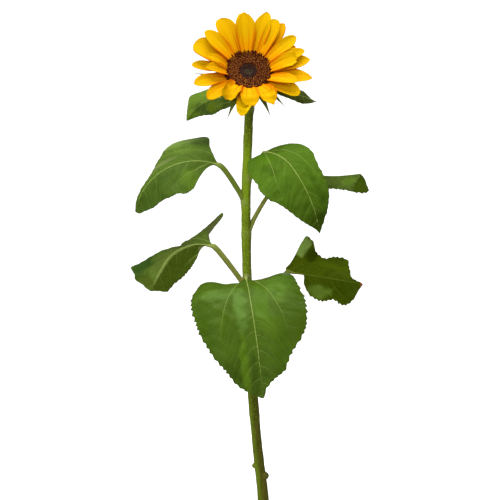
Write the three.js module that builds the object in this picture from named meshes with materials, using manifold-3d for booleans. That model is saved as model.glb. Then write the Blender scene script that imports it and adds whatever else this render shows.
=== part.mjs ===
// Sunflower plant: one tall stem with a single flower head and eight heart-shaped leaves on stalks.
// Millimetres, +Z up, the flower faces -Y. The origin is the middle of the stem's flat cut at ground level.
import * as THREE from 'three';
import { mergeVertices } from 'three/addons/utils/BufferGeometryUtils.js';
import Module from 'manifold-3d';

const wasm = await Module();
wasm.setup();

// Clearance between one solid and the next
const GAP = 0.32;

// Stem: height, side lean, forward bow and radius of its middle line, from the ground to the neck
const STEM_LINE = [
  { z: -12, x: 1, y: 0, r: 7.4 },
  { z: 0, x: 0, y: 0, r: 7.0 },
  { z: 14, x: -1.2, y: 0, r: 6.3 },
  { z: 71, x: -7, y: 1, r: 5.9 },
  { z: 128, x: -12, y: 2.2, r: 5.7 },
  { z: 200, x: -16.5, y: 3.2, r: 5.5 },
  { z: 275, x: -19.3, y: 3.6, r: 5.4 },
  { z: 361, x: -20.8, y: 3, r: 5.3 },
  { z: 425, x: -18.8, y: 1.4, r: 5.1 },
  { z: 477, x: -17.5, y: 0, r: 4.9 },
];
const STEM_SIDES = 12;
const STEM_STEPS = 28;
const NECK_STEPS = 6;
const NECK_RADIUS = 5.6;
const NECK_PULL = 0.36;
const BELOW_GROUND = 40;
const BUD_SCARS = [
  { x: 1.4, y: -1.5, z: 33, r: 4.6 },
  { x: -8.4, y: -1, z: 45, r: 3.4 },
];

// Head: middle of the disc, the way it faces, and its sizes
const HEAD_AT = new THREE.Vector3(-16.9, -33, 514.4);
const HEAD_FACES = new THREE.Vector3(0.054, -0.877, 0.477).normalize();
const CUP_DEPTH = 18;
const NECK_OVERLAP = 1;
const LATHE_SIDES = 32;

// Half sections of the disc and of the cup under it, as [radius, height] marks along the head's axis
const DISC_SECTION = [[0, -3.5], [25.7, -3.5], [27.3, -1.2], [26.3, 1.6], [21.3, 3.2], [12.3, 2.4], [0, 1.4]];
const CUP_SECTION = [
  [0, -CUP_DEPTH], [7.5, -CUP_DEPTH], [13, -15.5], [21, -10.5], [25.5, -6.6], [26, -3.82], [0, -3.82],
];

// Ray florets: the angle round the disc, length, width, and how far each rises at its foot and at its tip
const RAY_THICK = 0.9;
const RAY_FOOT = 24;
const RAY_ROWS = { front: -0.6, back: -3.6 };
const RAY_FOLD = 6;
const RAY_CURL = 22;
const RAY_BLUNT = 0.6;
const RAY_GRID = { steps: 7, across: 4 };
const RAYS = [
  { name: 'top', angle: 92, length: 51, width: 23, rise: [34, 18], row: 'front' },
  { name: 'top_right_1', angle: 79, length: 46, width: 19, rise: [30, 22], row: 'back' },
  { name: 'top_right_2', angle: 70, length: 53, width: 20, rise: [38, 12], row: 'back' },
  { name: 'top_right_3', angle: 59, length: 48, width: 17, rise: [32, 18], row: 'front' },
  { name: 'top_right_4', angle: 51, length: 50, width: 16, rise: [28, 14], row: 'back' },
  { name: 'right_upper_1', angle: 35, length: 47, width: 21, rise: [30, 14], row: 'front' },
  { name: 'right_upper_2', angle: 27, length: 42, width: 16, rise: [20, 10], row: 'back' },
  { name: 'right_upper_3', angle: 17, length: 46, width: 17, rise: [26, 12], row: 'front' },
  { name: 'right_1', angle: 7, length: 48, width: 16, rise: [22, 10], row: 'back' },
  { name: 'right_2', angle: 1, length: 41, width: 24, rise: [45, 20], row: 'front' },
  { name: 'right_3', angle: 350, length: 51, width: 16, rise: [16, 8], row: 'back' },
  { name: 'right_4', angle: 342, length: 39, width: 16, rise: [40, 15], row: 'front' },
  { name: 'right_lower', angle: 329, length: 43, width: 17, rise: [20, 4], row: 'back' },
  { name: 'bottom_right_1', angle: 309, length: 35, width: 17, rise: [36, -5], row: 'back' },
  { name: 'bottom_right_2', angle: 297, length: 37, width: 20, rise: [50, -10], row: 'front' },
  { name: 'bottom', angle: 272, length: 37, width: 24, rise: [60, -30], row: 'front' },
  { name: 'bottom_hanging', angle: 263, length: 37, width: 19, rise: [15, -15], row: 'back' },
  { name: 'bottom_left_1', angle: 240, length: 37, width: 20, rise: [55, -20], row: 'front' },
  { name: 'bottom_left_2', angle: 222, length: 39, width: 19, rise: [25, -5], row: 'back' },
  { name: 'left_lower', angle: 200, length: 44, width: 20, rise: [26, 8], row: 'back' },
  { name: 'left_1', angle: 187, length: 33, width: 16, rise: [52, 10], row: 'front' },
  { name: 'left_2', angle: 178, length: 42, width: 16, rise: [14, 4], row: 'back' },
  { name: 'left_3', angle: 167, length: 31, width: 15, rise: [52, 20], row: 'front' },
  { name: 'left_upper_1', angle: 152, length: 47, width: 23, rise: [24, 12], row: 'back' },
  { name: 'left_upper_2', angle: 134, length: 46, width: 20, rise: [32, 16], row: 'front' },
  { name: 'top_left', angle: 115, length: 48, width: 22, rise: [32, 18], row: 'back' },
];

// Bracts under the rays: angle round the cup, length, and how far each rises at its foot and at its tip
const BRACT_WIDTH = 8;
const BRACT_THICK = 1.2;
const BRACT_FOOT = 20;
const BRACT_LEVEL = -8.5;
const BRACT_BLUNT = 1.6;
const BRACT_GRID = { steps: 5, across: 2 };
const BRACTS = [
  { angle: 180, length: 42, rise: [-5, 12] },
  { angle: 203, length: 41, rise: [-10, 4] },
  { angle: 222, length: 30, rise: [-12, -20] },
  { angle: 246, length: 38, rise: [-16, -34] },
  { angle: 262, length: 28, rise: [-12, -24] },
  { angle: 281, length: 29, rise: [-12, -26] },
  { angle: 298, length: 36, rise: [-18, -32] },
  { angle: 315, length: 40, rise: [-16, -28] },
  { angle: 336, length: 30, rise: [-8, -14] },
  { angle: 356, length: 32, rise: [-6, -8] },
  { angle: 20, length: 30, rise: [-6, -4] },
  { angle: 44, length: 33, rise: [-8, -2] },
  { angle: 68, length: 31, rise: [-8, 0] },
  { angle: 92, length: 34, rise: [-8, -4] },
  { angle: 116, length: 31, rise: [-8, 0] },
  { angle: 138, length: 33, rise: [-6, -4] },
  { angle: 160, length: 30, rise: [-6, 0] },
];

// Leaves. The foot is where the blade joins its stalk. The blade's midrib runs on from there: heading is its
// compass way in degrees from +X towards +Y, rise its slope, roll its turn about itself, each from foot to tip.
// Left and right are those of someone who looks from the foot to the tip. Each half is its margin, as (along, out)
// in shares of the midrib's length, and how its section folds and curls.
const LEAF_THICK = 1.6;
const LEAF_STEPS = 17;
const LEAF_ACROSS = 3;
const CURL_WIDTH = 0.42;
const LEAVES = [
  {
    name: 'collar_left', foot: [-29.5, 8, 485.7], length: 74,
    heading: [186, 200], rise: [15, -62], roll: [-35, -25],
    left: { margin: [[0.04, 0.15], [0.28, 0.31], [0.58, 0.34], [0.78, 0.26], [0.92, 0.12]],
      fold: [0, 0], curl: [-25, -35] },
    right: { margin: [[-0.05, 0.15], [0.05, 0.33], [0.3, 0.43], [0.52, 0.41], [0.7, 0.28], [0.9, 0.09]],
      fold: [5, 5], curl: [-15, -15] },
    stalk: { z: 474, heading: 170, climb: 35, pull: [6, 8], radius: [2.2, 1.7] },
  },
  {
    name: 'collar_right', foot: [-1.7, 8, 498.9], length: 70,
    heading: [-8, -16], rise: [-4, -26], roll: [30, 30],
    left: { margin: [[-0.06, 0.15], [0.05, 0.34], [0.3, 0.38], [0.63, 0.23], [0.82, 0.09]],
      fold: [0, 0], curl: [-10, -5] },
    right: { margin: [[-0.04, 0.08], [0.1, 0.13], [0.35, 0.15], [0.6, 0.16], [0.8, 0.17], [0.95, 0.11]],
      fold: [-60, -20], curl: [-15, -10] },
    stalk: { z: 474, heading: 25, climb: 55, pull: [12, 12], radius: [2.2, 1.7] },
  },
  {
    name: 'upper_left', foot: [-51.8, -18, 404.5], length: 128,
    heading: [186, 202], rise: [20, -78], roll: [-45, -35],
    left: { margin: [[0.1, 0.05], [0.2, 0.18], [0.38, 0.31], [0.5, 0.33], [0.75, 0.25], [0.93, 0.18]],
      fold: [-5, -5], curl: [-35, -20] },
    right: { margin: [[0.07, 0.1], [0.09, 0.28], [0.11, 0.45], [0.2, 0.49], [0.33, 0.43], [0.46, 0.27],
      [0.58, 0.15], [0.72, 0.09], [0.87, 0.07]],
      fold: [8, -5, -20], curl: [-25, -30, -30] },
    stalk: { z: 366, heading: 200, climb: 62, pull: [26, 22], radius: [2.9, 2.0] },
  },
  {
    name: 'upper_front', foot: [1.4, -42, 418.2], length: 125,
    heading: [-31, -12], rise: [-2, -52, -66, -82], roll: [50, 56],
    left: { margin: [[-0.02, 0.12], [0.04, 0.24], [0.18, 0.29], [0.35, 0.29], [0.55, 0.25], [0.78, 0.15]],
      fold: [-15, 0, -25], curl: [-30, -25, -20] },
    right: { margin: [[-0.11, 0.12], [-0.08, 0.28], [0.08, 0.35], [0.3, 0.35], [0.55, 0.32], [0.75, 0.21],
      [0.92, 0.1]],
      fold: [0, 5], curl: [-20, -10] },
    stalk: { z: 398, heading: 290, climb: 40, pull: [16, 20], radius: [2.8, 2.0] },
  },
  {
    name: 'upper_right', foot: [25.3, 28, 387.8], length: 110,
    heading: [-35, -35], rise: [3, 3], roll: [0, 0],
    left: { margin: [[-0.04, 0.14], [0.1, 0.25], [0.4, 0.27], [0.7, 0.27], [0.93, 0.24]],
      fold: [-30, -30], curl: [-25, -25] },
    right: { margin: [[-0.04, 0.14], [0.1, 0.3], [0.4, 0.33], [0.7, 0.31], [0.93, 0.22]],
      fold: [-15, -15], curl: [-30, -30] },
    stalk: { z: 322, heading: 30, climb: 68, pull: [36, 30], radius: [2.7, 2.0] },
  },
  {
    name: 'lower_left', foot: [-58.4, -20, 307.9], length: 102,
    heading: [188, 203], rise: [18, -20, -60, -64], roll: [-25, -25],
    left: { margin: [[0.14, 0.04], [0.24, 0.18], [0.42, 0.29], [0.63, 0.33], [0.8, 0.3], [0.94, 0.2]],
      fold: [-30, -30], curl: [-30, -15] },
    right: { margin: [[0.07, 0.14], [0.02, 0.34], [-0.02, 0.52], [0.05, 0.38], [0.16, 0.28], [0.32, 0.29],
      [0.55, 0.38], [0.78, 0.48], [0.93, 0.3]],
      fold: [26, -20, 0, 5], curl: [5, -5, -5] },
    stalk: { z: 264, heading: 200, climb: 55, pull: [24, 20], radius: [2.8, 2.0] },
  },
  {
    name: 'heart_front', foot: [-19.7, -42, 270.6], length: 159,
    heading: [-84, -62], rise: [-20, -50, -64, -74, -80], roll: [5, 28],
    left: { margin: [[0.03, 0.12], [-0.07, 0.26], [-0.05, 0.36], [0.12, 0.41], [0.33, 0.41], [0.53, 0.36],
      [0.7, 0.25], [0.85, 0.14], [0.96, 0.04]],
      fold: [14, 6, 2], curl: [-28, -15] },
    right: { margin: [[0.04, 0.1], [-0.02, 0.25], [-0.04, 0.36], [0.1, 0.43], [0.3, 0.44], [0.5, 0.4],
      [0.7, 0.31], [0.85, 0.21], [0.96, 0.1]],
      fold: [8, 4, 2], curl: [-28, -15] },
    stalk: { z: 268, heading: 270, climb: 25, pull: [14, 12], radius: [3.0, 2.2] },
  },
  {
    name: 'lower_right', foot: [30.1, -20, 278.1], length: 92,
    heading: [-12, -24], rise: [-9, -9], roll: [35, 30],
    left: { margin: [[0.02, 0.16], [0.07, 0.4], [0.12, 0.53], [0.2, 0.48], [0.3, 0.34], [0.5, 0.34],
      [0.67, 0.34], [0.78, 0.16]],
      fold: [25, 12], curl: [5, 0] },
    right: { margin: [[0.2, 0.03], [0.23, 0.13], [0.36, 0.25], [0.54, 0.31], [0.69, 0.27], [0.81, 0.34],
      [0.93, 0.24]],
      fold: [-35, -25], curl: [-20, -20] },
    stalk: { z: 250, heading: -10, climb: 42, pull: [20, 20], radius: [2.8, 2.0] },
  },
];
const STALK_SIDES = 8;
const STALK_STEPS = 9;
const STALK_FLARE = 0.9;
const STALK_FLARE_FADE = 3.2;

// Finishes
const finish = (color, roughness) => new THREE.MeshStandardMaterial({ color, roughness, metalness: 0 });
const STEM_FINISH = finish(0x6f8a24, 0.7);
const STALK_FINISH = finish(0x8c9a48, 0.65);
const LEAF_FINISH = finish(0x4a6b1f, 0.55);
const CUP_FINISH = finish(0x5d7428, 0.7);
const DISC_FINISH = finish(0x4a2812, 0.9);
const RAY_FINISH = finish(0xf2b400, 0.6);

const radians = THREE.MathUtils.degToRad;

/** Value at share t of a row of equally spaced values. */
function along(row, t) {
  const f = THREE.MathUtils.clamp(t, 0, 1) * (row.length - 1);
  const i = Math.min(Math.floor(f), row.length - 2);
  return THREE.MathUtils.lerp(row[i], row[i + 1], f - i);
}

/** Indexed closed mesh as a solid. */
function solid(geometry) {
  const bare = geometry.clone();
  bare.deleteAttribute('normal');
  bare.deleteAttribute('uv');
  const merged = mergeVertices(bare, 1e-5);
  return new wasm.Manifold(new wasm.Mesh({
    numProp: 3,
    vertProperties: new Float32Array(merged.attributes.position.array),
    triVerts: new Uint32Array(merged.index.array),
  }));
}

/** Geometry of a solid. */
function geometryOf(body) {
  const mesh = body.getMesh();
  const geometry = new THREE.BufferGeometry();
  geometry.setAttribute('position', new THREE.BufferAttribute(new Float32Array(mesh.vertProperties), 3));
  geometry.setIndex(new THREE.BufferAttribute(new Uint32Array(mesh.triVerts), 1));
  geometry.computeVertexNormals();
  return geometry;
}

/** The largest of the pieces that a cut leaves. */
function largest(body) {
  return body.decompose().reduce((a, b) => (b.volume() > a.volume() ? b : a));
}

/** Solid from points and triangles, with triangles that have lost a side left out. */
function shell(points, faces) {
  const keep = new Map();
  const place = [];
  const seat = points.map((p) => {
    const key = `${p.x.toFixed(4)},${p.y.toFixed(4)},${p.z.toFixed(4)}`;
    if (!keep.has(key)) {
      keep.set(key, place.length / 3);
      place.push(p.x, p.y, p.z);
    }
    return keep.get(key);
  });
  const index = [];
  for (const face of faces) {
    const [a, b, c] = face.map((i) => seat[i]);
    if (a !== b && b !== c && c !== a) index.push(a, b, c);
  }
  const geometry = new THREE.BufferGeometry();
  geometry.setAttribute('position', new THREE.Float32BufferAttribute(place, 3));
  geometry.setIndex(index);
  return solid(geometry);
}

/** Closed sheet from rows of upper and lower points; rows run from foot to tip, each from right to left. */
function sheet(rows) {
  const wide = rows[0].length;
  const points = rows.flatMap((row) => row.flatMap((pair) => pair));
  const id = (i, j, under) => 2 * (i * wide + j) + under;
  const faces = [];
  const quad = (a, b, c, d) => faces.push([a, b, c], [a, c, d]);
  for (let i = 0; i < rows.length - 1; i += 1) {
    for (let j = 0; j < wide - 1; j += 1) {
      quad(id(i, j, 0), id(i + 1, j, 0), id(i + 1, j + 1, 0), id(i, j + 1, 0));
      quad(id(i, j, 1), id(i, j + 1, 1), id(i + 1, j + 1, 1), id(i + 1, j, 1));
    }
    quad(id(i, 0, 0), id(i, 0, 1), id(i + 1, 0, 1), id(i + 1, 0, 0));
    quad(id(i, wide - 1, 0), id(i + 1, wide - 1, 0), id(i + 1, wide - 1, 1), id(i, wide - 1, 1));
  }
  const end = rows.length - 1;
  for (let j = 0; j < wide - 1; j += 1) {
    quad(id(0, j, 0), id(0, j + 1, 0), id(0, j + 1, 1), id(0, j, 1));
    quad(id(end, j, 0), id(end, j, 1), id(end, j + 1, 1), id(end, j + 1, 0));
  }
  return shell(points, faces);
}

/** Tapering limb along a curve, flat at both ends. */
function limb(curve, steps, sides, radiusAt) {
  const frames = curve.computeFrenetFrames(steps, false);
  const points = [];
  const faces = [];
  for (let i = 0; i <= steps; i += 1) {
    const middle = curve.getPointAt(i / steps);
    const radius = radiusAt(i / steps);
    for (let k = 0; k < sides; k += 1) {
      const turn = (2 * Math.PI * k) / sides;
      points.push(middle.clone()
        .addScaledVector(frames.normals[i], Math.cos(turn) * radius)
        .addScaledVector(frames.binormals[i], Math.sin(turn) * radius));
    }
  }
  const ring = (i, k) => i * sides + (k % sides);
  for (let i = 0; i < steps; i += 1) {
    for (let k = 0; k < sides; k += 1) {
      faces.push([ring(i, k), ring(i, k + 1), ring(i + 1, k + 1)]);
      faces.push([ring(i, k), ring(i + 1, k + 1), ring(i + 1, k)]);
    }
  }
  for (let k = 1; k < sides - 1; k += 1) {
    faces.push([ring(0, 0), ring(0, k + 1), ring(0, k)]);
    faces.push([ring(steps, 0), ring(steps, k), ring(steps, k + 1)]);
  }
  return shell(points, faces);
}

/** Midrib of a blade or ray: a line whose heading, rise and roll change from foot to tip. */
class Rib {
  constructor({ start, length, heading, rise, roll }, steps = 40) {
    Object.assign(this, { length, heading, rise, roll, steps });
    this.points = [start.clone()];
    for (let i = 0; i < steps; i += 1) {
      const next = this.points[i].clone().addScaledVector(this.axes((i + 0.5) / steps).ahead, length / steps);
      this.points.push(next);
    }
  }

  axes(t) {
    const a = radians(along(this.heading, t));
    const e = radians(along(this.rise, t));
    const r = radians(along(this.roll, t));
    const ahead = new THREE.Vector3(Math.cos(e) * Math.cos(a), Math.cos(e) * Math.sin(a), Math.sin(e));
    const level = new THREE.Vector3(-Math.sin(a), Math.cos(a), 0);
    const upper = new THREE.Vector3(-Math.sin(e) * Math.cos(a), -Math.sin(e) * Math.sin(a), Math.cos(e));
    return {
      ahead,
      side: level.clone().multiplyScalar(Math.cos(r)).addScaledVector(upper, Math.sin(r)),
      up: upper.clone().multiplyScalar(Math.cos(r)).addScaledVector(level, -Math.sin(r)),
    };
  }

  at(distance) {
    const t = THREE.MathUtils.clamp(distance / this.length, 0, 1);
    const i = Math.min(Math.floor(t * this.steps), this.steps - 1);
    const frame = this.axes(t);
    const point = this.points[i].clone().lerp(this.points[i + 1], t * this.steps - i);
    return { ...frame, point: point.addScaledVector(frame.ahead, distance - t * this.length) };
  }
}

/** Point beside the rib: out along a section that starts at a fold and turns by a curl each unit of width,
 * where a curl of next to nothing is taken as half a degree. */
function beside(rib, distance, out, lift, fold, curl, unit) {
  const { point, side, up } = rib.at(distance);
  const way = out < 0 ? -1 : 1;
  const start = radians(fold);
  const turn = radians(Math.abs(curl) < 0.5 ? 0.5 : curl) / unit;
  const angle = start + turn * Math.abs(out);
  const across = (Math.sin(angle) - Math.sin(start)) / turn;
  const rise = (Math.cos(start) - Math.cos(angle)) / turn;
  const tilt = out === 0 ? 0 : angle;
  return point
    .addScaledVector(side, way * (across - lift * Math.sin(tilt)))
    .addScaledVector(up, rise + lift * Math.cos(tilt));
}

/** Margin of half a blade, as steps + 1 points evenly spaced along its edge. */
function marginOf(half, length, steps) {
  const marks = [[0, 0], ...half.margin, [1, 0]].map(([u, v]) => new THREE.Vector3(u, v, 0));
  const curve = new THREE.CatmullRomCurve3(marks, false, 'centripetal');
  curve.arcLengthDivisions = 400;
  return curve.getSpacedPoints(steps).map((p) => [p.x * length, p.y * length]);
}

/** Leaf blade, a bent sheet that fans out from its midrib to its margin. */
function bladeOf(leaf, grow = 0) {
  const rib = new Rib({ ...leaf, start: new THREE.Vector3(...leaf.foot) });
  const unit = CURL_WIDTH * leaf.length;
  const edges = [leaf.right, leaf.left].map((half) => marginOf(half, leaf.length, LEAF_STEPS));
  const thick = LEAF_THICK / 2 + grow;
  const rows = [];
  for (let i = 0; i <= LEAF_STEPS; i += 1) {
    const middle = leaf.length * (i / LEAF_STEPS) ** 1.5;
    const row = [];
    for (let j = -LEAF_ACROSS; j <= LEAF_ACROSS; j += 1) {
      const half = j < 0 ? leaf.right : leaf.left;
      const [u, v] = edges[j < 0 ? 0 : 1][i];
      const share = Math.abs(j) / LEAF_ACROSS;
      const distance = THREE.MathUtils.lerp(middle, u, share);
      const out = Math.sign(j) * v * share;
      const t = distance / leaf.length;
      row.push([thick, -thick].map((lift) => (
        beside(rib, distance, out, lift, along(half.fold, t), along(half.curl, t), unit))));
    }
    rows.push(row);
  }
  return sheet(rows);
}

/** Leaf stalk from the stem to the blade's foot, flared where it leaves the stem. */
function stalkOf(leaf, grow = 0) {
  const { z, heading, climb, pull, radius } = leaf.stalk;
  const start = stemAxis(z);
  const rib = new Rib({ ...leaf, start: new THREE.Vector3(...leaf.foot) });
  const leave = new THREE.Vector3(
    Math.cos(radians(climb)) * Math.cos(radians(heading)),
    Math.cos(radians(climb)) * Math.sin(radians(heading)),
    Math.sin(radians(climb)),
  );
  const foot = rib.at(0);
  const end = foot.point.clone().addScaledVector(foot.ahead, grow);
  const curve = new THREE.CubicBezierCurve3(
    start,
    start.clone().addScaledVector(leave, pull[0]),
    foot.point.clone().addScaledVector(foot.ahead, -pull[1]),
    end,
  );
  const flare = (t) => STALK_FLARE * Math.max(0, 1 - t * STALK_FLARE_FADE) ** 2;
  return limb(curve, STALK_STEPS, STALK_SIDES, (t) => THREE.MathUtils.lerp(...radius, t) + flare(t) + grow);
}

/** Middle of the stem at a height. */
function stemAxis(z) {
  const i = STEM_LINE.findIndex((mark) => mark.z > z);
  const [low, high] = [STEM_LINE[i - 1], STEM_LINE[i]];
  const t = (z - low.z) / (high.z - low.z);
  return new THREE.Vector3(low.x, low.y, low.z).lerp(new THREE.Vector3(high.x, high.y, high.z), t);
}

/** Whole stem: the upright run, the neck that bends into the head, and two bud scars, cut flat at the ground. */
function stemOf(grow = 0) {
  const top = STEM_LINE.at(-1);
  const neckStart = new THREE.Vector3(top.x, top.y, top.z);
  const neckEnd = HEAD_AT.clone().addScaledVector(HEAD_FACES, NECK_OVERLAP - CUP_DEPTH);
  const reach = neckStart.distanceTo(neckEnd) * NECK_PULL;
  const neck = new THREE.CubicBezierCurve3(
    neckStart,
    neckStart.clone().add(new THREE.Vector3(0, 0, reach)),
    neckEnd.clone().addScaledVector(HEAD_FACES, -reach),
    neckEnd.clone().addScaledVector(HEAD_FACES, grow),
  );
  const path = new THREE.CatmullRomCurve3([
    ...STEM_LINE.map((mark) => new THREE.Vector3(mark.x, mark.y, mark.z)),
    ...Array.from({ length: NECK_STEPS }, (_, i) => neck.getPoint((i + 1) / NECK_STEPS)),
  ], false, 'centripetal');
  const radiusAt = (t) => {
    const { z } = path.getPointAt(t);
    const i = STEM_LINE.findIndex((mark, n) => n > 0 && mark.z > z);
    const [low, high] = i < 0 ? [top, { z: neckEnd.z, r: NECK_RADIUS }] : [STEM_LINE[i - 1], STEM_LINE[i]];
    return THREE.MathUtils.lerp(low.r, high.r, (z - low.z) / (high.z - low.z)) + grow;
  };
  let body = limb(path, STEM_STEPS, STEM_SIDES, radiusAt);
  for (const scar of BUD_SCARS) {
    const bump = new THREE.SphereGeometry(scar.r + grow, 8, 6);
    bump.translate(scar.x, scar.y, scar.z);
    body = body.add(solid(bump));
  }
  const below = new THREE.BoxGeometry(BELOW_GROUND, BELOW_GROUND, BELOW_GROUND);
  below.translate(0, 0, -BELOW_GROUND / 2);
  return body.subtract(solid(below));
}

const headTurn = new THREE.Matrix4();
{
  const right = new THREE.Vector3(0, 0, 1).cross(HEAD_FACES).normalize();
  const up = HEAD_FACES.clone().cross(right);
  headTurn.makeBasis(right, up, HEAD_FACES).setPosition(HEAD_AT);
}

/** Solid turned about the head's axis from a half section, grown outwards, upwards and downwards. */
function turned(section, grow = 0) {
  const widest = section.reduce((best, mark, i) => (mark[0] > section[best][0] ? i : best), 0);
  const marks = section.map(([r, h], i) => (
    new THREE.Vector2(r > 0 ? r + grow : 0, h + Math.sign(i - widest) * grow)));
  const geometry = new THREE.LatheGeometry(marks, LATHE_SIDES);
  geometry.rotateX(Math.PI / 2);
  geometry.applyMatrix4(headTurn);
  return solid(geometry);
}

const discOf = (grow) => turned(DISC_SECTION, grow);
const cupOf = (grow) => turned(CUP_SECTION, grow);

/** Long petal shape in the head's frame: a foot on the radius, then a sheet that widens and ends blunt. */
function petalOf({ angle, length, width, rise, foot, level, thick, blunt, grid, grow = 0 }) {
  const start = new THREE.Vector3(foot - grow, 0, level);
  const rib = new Rib({ start, length: length + 2 * grow, heading: [0, 0], rise, roll: [0, 0] });
  const widest = 0.58;
  const halfAt = (t) => {
    if (t < widest) return (width / 2) * (0.5 + 0.5 * Math.sin((Math.PI / 2) * (t / widest)) ** 1.3);
    const past = (t - widest) / (1 - widest);
    return (width / 2) * Math.max(0, 1 - past ** 2.2) ** blunt;
  };
  const spin = new THREE.Matrix4().makeRotationZ(radians(angle)).premultiply(headTurn);
  const rows = [];
  for (let i = 0; i <= grid.steps; i += 1) {
    const t = 1 - (1 - i / grid.steps) ** 1.25;
    const row = [];
    for (let j = -grid.across / 2; j <= grid.across / 2; j += 1) {
      const out = ((2 * j) / grid.across) * (halfAt(t) + grow);
      row.push([thick / 2 + grow, -thick / 2 - grow].map((lift) => (
        beside(rib, t * rib.length, out, lift, RAY_FOLD, RAY_CURL, width / 2).applyMatrix4(spin))));
    }
    rows.push(row);
  }
  return sheet(rows);
}

const rayOf = (ray, grow = 0) => petalOf({
  ...ray, foot: RAY_FOOT, level: RAY_ROWS[ray.row], thick: RAY_THICK, blunt: RAY_BLUNT, grid: RAY_GRID, grow,
});

const bractOf = (bract) => petalOf({
  ...bract, width: BRACT_WIDTH, foot: BRACT_FOOT, level: BRACT_LEVEL, thick: BRACT_THICK, blunt: BRACT_BLUNT,
  grid: BRACT_GRID,
});

const plant = new THREE.Group();
plant.name = 'sunflower_plant';

/** Adds one solid to the plant as a named mesh. */
function place(name, body, material) {
  const mesh = new THREE.Mesh(geometryOf(body), material);
  mesh.name = name;
  plant.add(mesh);
}

const cutAll = (body, cutters) => cutters.reduce((rest, cutter) => rest.subtract(cutter), body);

place('stem', largest(stemOf().subtract(cupOf(GAP))), STEM_FINISH);
const stemRoom = stemOf(GAP);

place('flower_disc', discOf(), DISC_FINISH);
const headRoom = [discOf(GAP), cupOf(GAP)];
const rayRooms = [];
for (const ray of [...RAYS].sort((a, b) => (a.row < b.row ? 1 : -1))) {
  place(`ray_${ray.name}`, largest(cutAll(rayOf(ray), [...headRoom, ...rayRooms])), RAY_FINISH);
  rayRooms.push(rayOf(ray, GAP));
}

const bracts = BRACTS.reduce((body, bract) => body.add(bractOf(bract)), cupOf());
place('flower_cup', largest(cutAll(bracts, [discOf(GAP), ...rayRooms])), CUP_FINISH);

const limbRooms = [stemRoom];
for (const leaf of LEAVES) {
  place(`stalk_${leaf.name}`, largest(cutAll(stalkOf(leaf), limbRooms)), STALK_FINISH);
  limbRooms.push(stalkOf(leaf, GAP));
}
for (const leaf of LEAVES) {
  place(`leaf_${leaf.name}`, largest(cutAll(bladeOf(leaf), limbRooms)), LEAF_FINISH);
}

export default plant;
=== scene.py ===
"""Sunflower plant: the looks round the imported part.

The rows of sizes below are those of the solids, in millimetres. Each sub-assembly grows its finer mesh
from them by the same rule, within the same reach, and takes the place of its solids.
"""

import logging
import math
from dataclasses import dataclass, field
from enum import Enum
from typing import Callable, Sequence

import bpy
import numpy as np
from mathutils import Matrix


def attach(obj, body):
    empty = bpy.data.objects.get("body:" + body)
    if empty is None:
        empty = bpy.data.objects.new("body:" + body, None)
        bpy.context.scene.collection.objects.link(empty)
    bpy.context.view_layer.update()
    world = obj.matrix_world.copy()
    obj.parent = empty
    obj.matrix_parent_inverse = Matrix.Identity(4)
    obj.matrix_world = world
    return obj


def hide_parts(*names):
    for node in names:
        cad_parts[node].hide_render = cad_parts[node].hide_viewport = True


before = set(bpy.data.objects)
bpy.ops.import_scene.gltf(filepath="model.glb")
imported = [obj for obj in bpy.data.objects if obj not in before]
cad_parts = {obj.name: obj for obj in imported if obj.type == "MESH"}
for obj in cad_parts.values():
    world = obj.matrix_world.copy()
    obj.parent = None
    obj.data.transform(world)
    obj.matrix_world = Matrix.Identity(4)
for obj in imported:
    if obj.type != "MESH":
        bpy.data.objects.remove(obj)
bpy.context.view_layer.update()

LOG = logging.getLogger("sunflower")
MM = 0.001
LEAST_CURL = 0.5
SEAM_GAP = 0.00001
Array = np.ndarray
Row = Sequence[float]
Colour = tuple[float, float, float, float]


def srgb(red: int, green: int, blue: int) -> Colour:
    """Linear colour from screen values.

    Args:
        red: red, from 0 to 255.
        green: green, from 0 to 255.
        blue: blue, from 0 to 255.

    Returns:
        The colour, with full alpha.
    """
    parts = [c / 255 for c in (red, green, blue)]
    linear = [c / 12.92 if c <= 0.04045 else ((c + 0.055) / 1.055) ** 2.4 for c in parts]
    return (*linear, 1.0)


def along(row: Row, t: Array) -> Array:
    """Values at the shares t of a row of equally spaced values."""
    return np.interp(t, np.linspace(0.0, 1.0, len(row)), row)


def smooth(x: Array, low: float, high: float) -> Array:
    """Soft step from 0 at low to 1 at high."""
    t = np.clip((x - low) / (high - low), 0.0, 1.0)
    return t * t * (3 - 2 * t)


def wobble(points: Array, wavelength: float, seed: int, waves: int = 7) -> Array:
    """Soft seeded unevenness.

    Args:
        points: places, in mm, one a row.
        wavelength: usual distance from one swell to the next, in mm.
        seed: number that fixes the swells.
        waves: how many plane waves are added up.

    Returns:
        A value of about -1 to 1 at each place.
    """
    rng = np.random.default_rng(seed)
    ways = rng.normal(size=(waves, points.shape[-1]))
    ways /= np.linalg.norm(ways, axis=1, keepdims=True)
    pace = 2 * np.pi / (wavelength * rng.uniform(0.7, 1.5, waves))
    phase = rng.uniform(0, 2 * np.pi, waves)
    return np.sin(points @ (ways * pace[:, None]).T + phase).sum(axis=-1) / math.sqrt(waves)


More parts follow.
